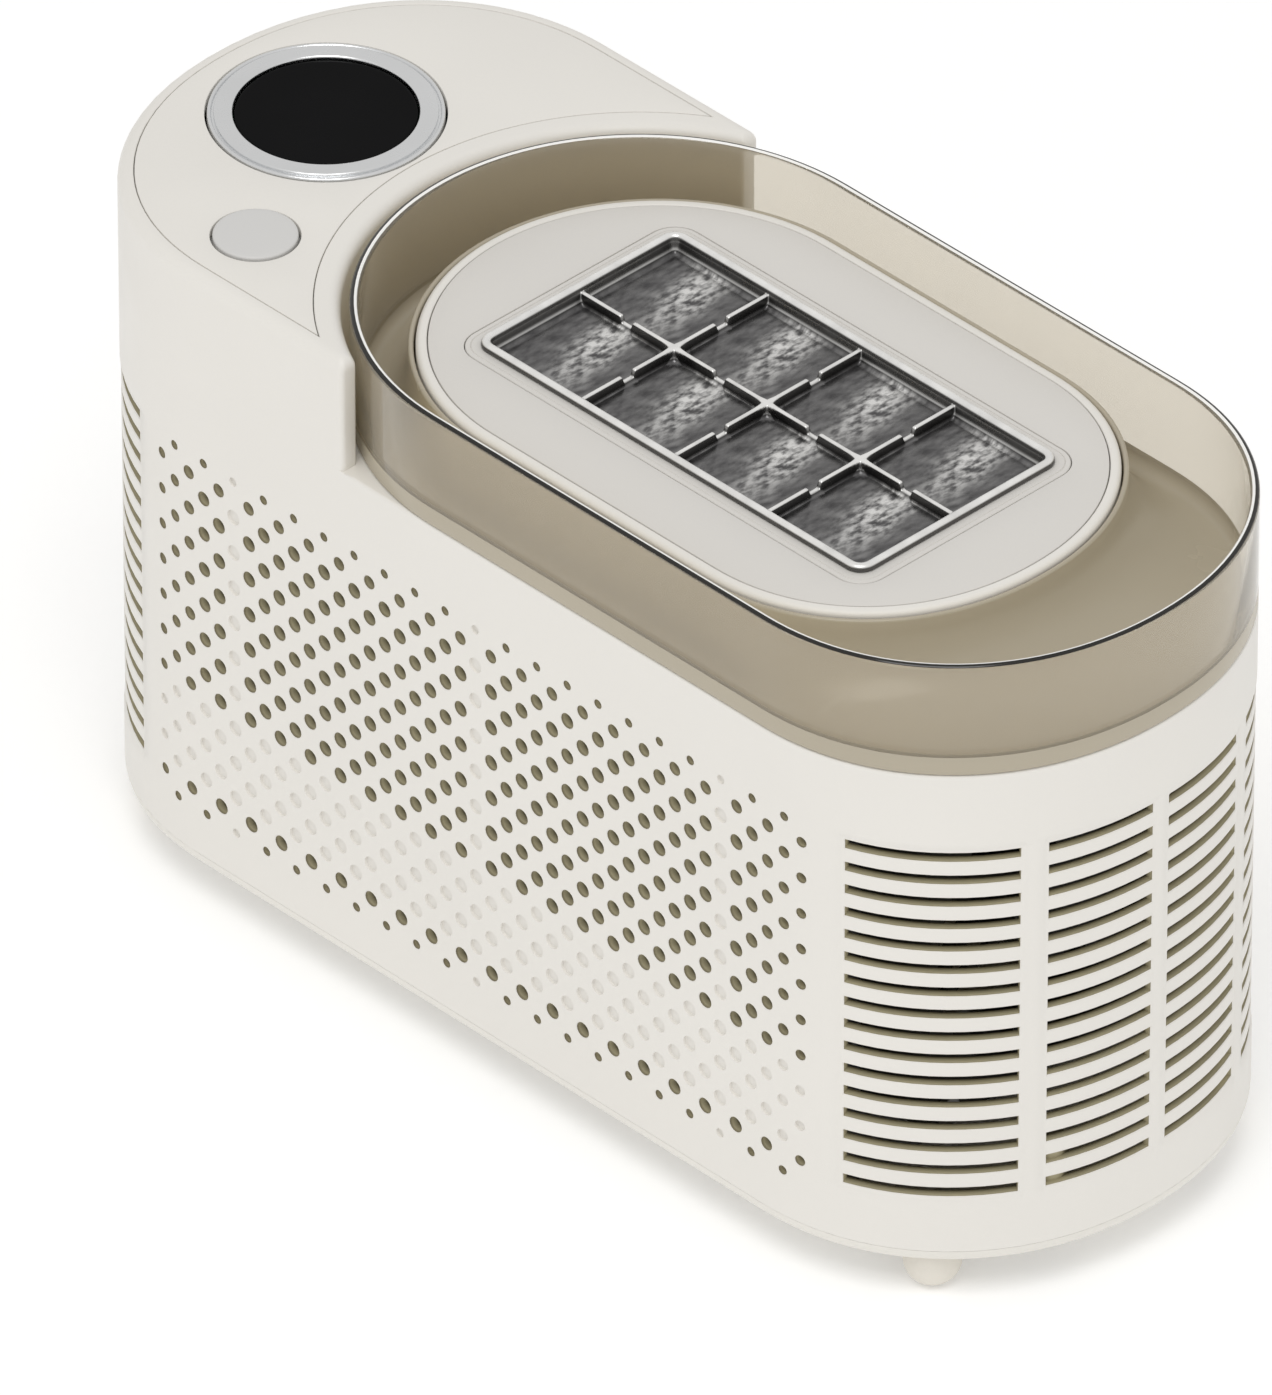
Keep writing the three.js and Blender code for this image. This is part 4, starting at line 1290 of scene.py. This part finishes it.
def depth_behind_wall(finish):
    """Nodes for a point's depth behind the body's face, from 0 there to 1 inside the wall."""
    across, along = (finish.math("ABSOLUTE", axis) for axis in finish.axes(finish.space)[:2])
    past = finish.math("MAXIMUM", finish.math("SUBTRACT", along, END_Y * MM), 0)
    past = finish.math("DIVIDE", past, END_DEPTH)
    powers = [finish.math("POWER", value, END_FULLNESS) for value in (across, past)]
    reach = finish.math("POWER", finish.math("ADD", *powers), 1 / END_FULLNESS)
    return finish.ranged(reach, END_RADIUS * MM, (END_RADIUS - WALL) * MM)


def painted_shade_plastic():
    """The shell's plastic inside its holes and slots, with painted shade: darker at the mouth and
    far in, and a faint painted glow.
    """
    finish = Finish("cream_plastic_painted_shade", srgb(160, 152, 126), 0.6)
    # painted shade: the walls of holes and slots darken by depth, with a dark line at the mouth
    painted_shade_ramp = finish.node("ShaderNodeValToRGB", {0: depth_behind_wall(finish)})
    stops = painted_shade_ramp.color_ramp.elements
    stops[0].position, stops[0].color = 0.1, srgb(116, 108, 84)
    stops[1].position, stops[1].color = 1, srgb(92, 85, 64)
    for position, colour in ((0.35, srgb(190, 182, 152)), (0.72, srgb(184, 176, 146))):
        stops.new(position).color = colour
    clouds = finish.math("MULTIPLY", finish.noise(40, 4), 0.2)
    tint = finish.mix(clouds, painted_shade_ramp.outputs[0], srgb(120, 113, 92))
    # the emission is a faint painted glow, though this plastic is no lamp
    finish.look(Base_Color=tint, Emission_Color=tint, Emission_Strength=0.07)
    finish.worn(60, 0.54, 0.66)
    return finish.grain(1500, 0.03, 0.35).material


def moulded_plastic(name, colour, roughness=0.42):
    """Spark-eroded plastic: fine even grain, faint flow clouds and slightly uneven gloss."""
    finish = Finish(name, colour, roughness, settings={"Specular IOR Level": 0.45})
    finish.layers((14, 0.012), (60, roughness - 0.06, roughness + 0.06), (1500, 0.03, 0.35))
    return finish.grain(26, 0.25, 0.06).material


TUB_WAVES = (30, 0.12, 0.05)             # grain of the tub's faintly uneven surface


def smoky_glass():
    """Tinted clear plastic. Lamps and soft light reach through it, dimmed by the tint."""
    settings = {"Transmission Weight": 0.9, "IOR": 1.47}
    finish = Finish("smoky_clear", srgb(231, 225, 213), 0.03, settings=settings)
    finish.layers((18, 0.015), (40, 0.02, 0.05), TUB_WAVES)
    path = finish.node("ShaderNodeLightPath")
    light = finish.math("MAXIMUM", path.outputs["Is Shadow Ray"], path.outputs["Is Diffuse Ray"])
    return finish.see_through(light, srgb(236, 231, 218))


def rim_edge(name, colour):
    """The tub's polished rim, with a painted dark reflection line outside and a painted highlight
    line inside.
    """
    return Finish(name, colour, 0.12).layers((18, 0.03), (40, 0.08, 0.16), TUB_WAVES).material


def smoky_base():
    """The tub's thick floor: the same tint, cloudy enough to hide the deck under it."""
    settings = {"Specular IOR Level": 0.4}
    finish = Finish("smoky_cloudy", srgb(188, 179, 160), 0.22, settings=settings)
    finish.layers((12, 0.03), (40, 0.18, 0.28), TUB_WAVES)
    return finish.see_through(0.12, srgb(232, 226, 212))


def cell_place(finish, axes):
    """Nodes for a point's place in its own cell, from -1 to 1 along X and along Y."""
    local = []
    for axis, pitch, middle in (("X", PITCH_X, 0), ("Y", PITCH_Y, MOLD_Y)):
        centred = finish.math("SUBTRACT", axes[axis], middle * MM)
        wrapped = finish.math("WRAP", centred, pitch * MM, 0)
        local.append(finish.math("MULTIPLY_ADD", wrapped, 2 / (pitch * MM), -1))
    return local


def cell_floor(finish, local):
    """Nodes for a cell floor's colour: dull fibres, and a ragged pale streak across them."""
    here = finish.node("ShaderNodeCombineXYZ", dict(enumerate(local))).outputs[0]
    wander = finish.noise(1.6, 4, space=here, contrast=(0, 1))
    line = finish.math("MULTIPLY_ADD", local[0], -0.2, 0.1)
    bend = finish.math("MULTIPLY_ADD", wander, 0.8, -0.4)
    off = finish.math("ADD", finish.math("ADD", local[1], line), bend)
    width = finish.math("MULTIPLY", off, 3)
    squared = finish.math("MULTIPLY", width, width)
    streak = finish.math("EXPONENT", finish.math("MULTIPLY", squared, -1))
    along = finish.mapped(here, Rotation=(0, 0, -0.6), Scale=(1, 2.1, 1))
    fibres = finish.noise(4.2, 7, space=along, contrast=(0.4, 0.6))
    fade = finish.ranged(local[0], -1.6, 0.3)
    pale = finish.math("MULTIPLY", finish.math("MULTIPLY", streak, fibres), fade)
    dull = finish.mix(finish.noise(3.4, 7, space=along), srgb(84, 83, 84), srgb(138, 137, 137))
    return finish.mix(pale, dull, srgb(250, 249, 247))


def cell_steel():
    """Stainless tray: a painted highlight on the tops of the rim and bars, painted shade on the
    cell walls, and cloudy cell floors with a pale streak.
    """
    finish = Finish("stainless_mold", srgb(150, 149, 147), 0.3, 1)
    axes = finish.axes(finish.space)

    def rise(low, high):
        return finish.ranged(axes["Z"], low * MM, high * MM)

    normal = finish.node("ShaderNodeNewGeometry").outputs["Normal"]
    # level marks the upward faces of the rim and bars, which get the painted highlight
    level = finish.ranged(finish.axes(normal)["Z"], 0.4, 0.65)
    level = finish.math("MULTIPLY", level, rise(CELL_FLOOR + 0.55, CELL_FLOOR + 0.85))
    height = rise(CELL_FLOOR + 0.6, BAR_TOP - 0.4)
    # painted shade: the cell walls darken towards the floor
    walls = finish.mix(height, srgb(46, 45, 44), srgb(100, 99, 98))
    # painted highlight along the tops of the rim and bars
    crest = finish.mix(finish.noise(220, 2), srgb(232, 231, 229), srgb(250, 249, 247))
    painted_highlight_and_shade = finish.mix(level, walls, crest)
    floor = cell_floor(finish, cell_place(finish, axes))
    colour = finish.mix(rise(CELL_FLOOR + 0.1, CELL_FLOOR + 0.7), floor, painted_highlight_and_shade)
    # the painted highlight is made less metallic, so its pale colour shows whatever the light
    finish.look(Base_Color=colour, Metallic=finish.math("MULTIPLY_ADD", level, -0.55, 1))
    finish.worn(160, 0.2, 0.36)
    return finish.grain(900, 0.02, 0.3).material


def brushed_metal(name, colour, roughness, stretch=(1, 1, 1)):
    wear = (90, roughness - 0.08, roughness + 0.1)
    finish = Finish(name, colour, roughness, 1)
    return finish.layers((60, 0.06), wear, (500, 0.02, 0.3), stretch).material


def bezel_silver():
    """Satin silver with fine rings turned round its own middle."""
    finish = Finish("satin_silver", srgb(238, 239, 240), 0.24, 1)
    centred = finish.mapped(finish.space, Location=(0, -DISPLAY_Y * MM, 0))
    values = {"Scale": 900, "Distortion": 1.5, "Vector": centred}
    rings = finish.node("ShaderNodeTexWave", values, wave_type="RINGS", rings_direction="Z")
    finish.mottle(45, 0.03)
    finish.worn(200, 0.18, 0.3)
    return finish.bump(rings.outputs["Fac"], 0.01, 0.15).material


def black_glass():
    finish = Finish("black_glass", srgb(11, 11, 12), 0.2, settings={"Specular IOR Level": 0.04})
    return finish.layers((35, 0.15), (90, 0.16, 0.26), (25, 0.05, 0.05)).material


def rubber():
    finish = Finish("foot_rubber", srgb(226, 221, 211), 0.7, settings={"Sheen Weight": 0.1})
    return finish.layers((120, 0.03), (150, 0.6, 0.8), (1800, 0.04, 0.5)).material


def foam():
    finish = Finish("foam", srgb(52, 53, 56), 0.95)
    finish.mottle(300, 0.25)
    finish.worn(200, 0.88, 1)
    cells = finish.node("ShaderNodeTexVoronoi", {"Scale": 900, "Vector": finish.space})
    return finish.bump(cells.outputs["Distance"], 0.3, 0.7).material


def circuit_board():
    """Green lacquer over copper tracks, with small tinned pads."""
    finish = Finish("circuit_board", srgb(28, 92, 60), 0.35)
    tracks = finish.node("ShaderNodeTexBrick", {
        "Scale": 260, "Mortar Size": 0.05, "Vector": finish.space,
        "Color1": srgb(24, 84, 55), "Color2": srgb(30, 98, 64), "Mortar": srgb(58, 132, 84),
    })
    pads = finish.node("ShaderNodeTexVoronoi", {"Scale": 240, "Vector": finish.space})
    dots = finish.math("LESS_THAN", pads.outputs["Distance"], 0.16)
    finish.look(Base_Color=finish.mix(dots, tracks.outputs["Color"], srgb(196, 194, 186)))
    finish.worn(100, 0.28, 0.42)
    return finish.bump(tracks.outputs["Fac"], 0.04, 0.4).material


def ceramic():
    finish = Finish("ceramic", srgb(230, 230, 225), 0.5)
    return finish.layers((180, 0.03), (150, 0.42, 0.6), (1200, 0.03, 0.4)).material


cream = moulded_plastic("cream_plastic", srgb(233, 230, 224))
warm_cream = moulded_plastic("cream_plastic_base", srgb(232, 229, 222))
# plastic with painted shade and a faint painted glow, for the insides of holes and slots
painted_shade_cream = painted_shade_plastic()
plate_grey = moulded_plastic("plate_plastic", srgb(219, 216, 211), 0.4)
button_grey = moulded_plastic("button_plastic", srgb(212, 211, 209), 0.45)
black_plastic = moulded_plastic("black_plastic", srgb(44, 42, 37), 0.5)
smoke = smoky_glass()
smoke_floor = smoky_base()
# painted dark reflection line and painted highlight line for the tub's rim
painted_dark_rim = rim_edge("smoky_rim_painted_dark", srgb(30, 28, 24))
painted_highlight_rim = rim_edge("smoky_rim_painted_highlight", srgb(250, 249, 246))
mold_steel = cell_steel()
silver = bezel_silver()
glass_black = black_glass()
foot_rubber = rubber()
aluminium = brushed_metal("aluminium", srgb(186, 188, 190), 0.38, (1, 1, 40))
zinc = brushed_metal("zinc_steel", srgb(168, 168, 170), 0.32)
brass = brushed_metal("brass", srgb(203, 164, 92), 0.32)
board = circuit_board()
white_ceramic = ceramic()
grey_foam = foam()

NODE_FINISH = {
    "heat_sink": aluminium, "cold_plate": aluminium, "fan_bracket": aluminium,
    "board_heat_spreader": aluminium, "peltier": white_ceramic, "temperature_probe": brass,
    "fan_bearing": brass, "board_inductor": brass, "driver_board": board, "control_board": board,
    "insulation_block": grey_foam, "fan_frame": black_plastic, "fan_rotor": black_plastic,
    "fan_shaft": zinc, "fan_screw": zinc, "base_screw": zinc, "clamp_screw": zinc,
    "button_switch": black_plastic, "display_module": black_plastic,
    "board_capacitor": black_plastic, "power_inlet": black_plastic,
}


def finish_cad_nodes():
    """Gives every CAD piece that still shows a procedural material."""
    for name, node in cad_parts.items():
        if node.hide_render:
            continue
        finish = next(m for start, m in NODE_FINISH.items() if name.startswith(start))
        node.data.materials.clear()
        node.data.materials.append(finish)


# ---------------------------------------------------------------- assembly


PIECES = (
    (body_shell, "shell", cream, "housing", "body_shell", "housing"),
    (base_pan, "pan", warm_cream, "housing", "base_pan", "housing"),
    (top_panel, "panel", cream, "housing", "top_panel", "housing"),
    (display_bezel, "bezel", silver, "housing", "display_bezel", "bezel"),
    (display_lens, "lens", glass_black, "housing", "display_lens", "lens"),
    (start_button, "button", button_grey, "button", "start_button", "button"),
    (button_spring, "spring", zinc, "button", "button_spring", "steel"),
    (platform_wall, "platform_rim", cream, "housing", "platform_wall", "housing"),
    (platform_plate, "platform_top", plate_grey, "housing", "platform_plate", "plate"),
    (mold_trim, "mold_frame", plate_grey, "housing", "mold_trim", "plate"),
    (ice_mold, "mold", mold_steel, "housing", "ice_mold", "mold_steel"),
    (ice_tub, "tub", smoke, "tub", "ice_tub", "tub"),
)
TUB_PARTS = ((smoke_floor, is_trough), (painted_dark_rim, is_outer_rim), (painted_highlight_rim, is_inner_rim))
SETTINGS = {
    "shell": {"others": ((painted_shade_cream, is_painted_shade),)}, "mold": {"sharp": 50},
    "tub": {"others": TUB_PARTS},
}


def assemble():
    """Builds every piece on its body, in place of its CAD node."""
    for shape, name, material, body, node, slot in PIECES:
        shape().build(name, material, body, node, slot, **SETTINGS.get(name, {}))
    for corner, x, y in corners(FOOT_X, FOOT_Y):
        foot(x, y).build(f"pad_{corner}", foot_rubber, "housing", f"foot_{corner}", "foot")


def squash_spring():
    """Gives the button's spring a mesh of its own."""
    spring = bpy.data.objects["spring"]
    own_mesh(spring)


# ---------------------------------------------------------------- camera, light and floor


def add_camera():
    """Camera at the photograph's viewing angle, aimed at the middle of the body."""
    aim = Vector((0, 0.0142, 0.0593))
    distance = 5.9325
    azimuth, elevation = math.radians(44.152), math.radians(36.2213)
    back = Vector((
        -math.sin(azimuth) * math.cos(elevation), -math.cos(azimuth) * math.cos(elevation),
        math.sin(elevation),
    ))
    data = bpy.data.cameras.new("camera")
    data.lens = 738.6
    data.sensor_width = 36
    data.clip_end = 100
    camera = bpy.data.objects.new("camera", data)
    camera.location = aim + distance * back
    camera.rotation_euler = (-back).to_track_quat("-Z", "Y").to_euler()
    bpy.context.scene.collection.objects.link(camera)
    bpy.context.scene.camera = camera


def add_light():
    """Even daylight all round, and one large soft lamp high at the front left."""
    world = bpy.data.worlds.new("studio")
    world.use_nodes = True
    sky = world.node_tree.nodes["Background"]
    sky.inputs["Color"].default_value = (1, 0.995, 0.985, 1)
    sky.inputs["Strength"].default_value = 0.66
    bpy.context.scene.world = world
    data = bpy.data.lights.new("key", "AREA")
    data.size = 1.8
    data.energy = 36
    lamp = bpy.data.objects.new("key", data)
    lamp.location = (-1.2, -0.9, 3.1)
    aim = Vector((0, 0, 0.08))
    lamp.rotation_euler = (aim - lamp.location).to_track_quat("-Z", "Y").to_euler()
    bpy.context.scene.collection.objects.link(lamp)
    bpy.context.scene.view_settings.view_transform = "Standard"


def add_floor():
    """White floor that glows a little, so that it stays white under the object."""
    finish = Finish(
        "studio_floor", (0.96, 0.96, 0.957, 1), 0.9,
        settings={"Emission Color": (1, 1, 1, 1), "Emission Strength": 0.17},
    )
    finish.mottle(3, 0.006)
    mesh = bpy.data.meshes.new("floor")
    half = 8
    square = [(-half, -half, 0), (half, -half, 0), (half, half, 0), (-half, half, 0)]
    mesh.from_pydata(square, [], [(0, 1, 2, 3)])
    mesh.materials.append(finish.material)
    floor = bpy.data.objects.new("floor", mesh)
    bpy.context.scene.collection.objects.link(floor)


assemble()
squash_spring()
finish_cad_nodes()
add_camera()
add_light()
add_floor()
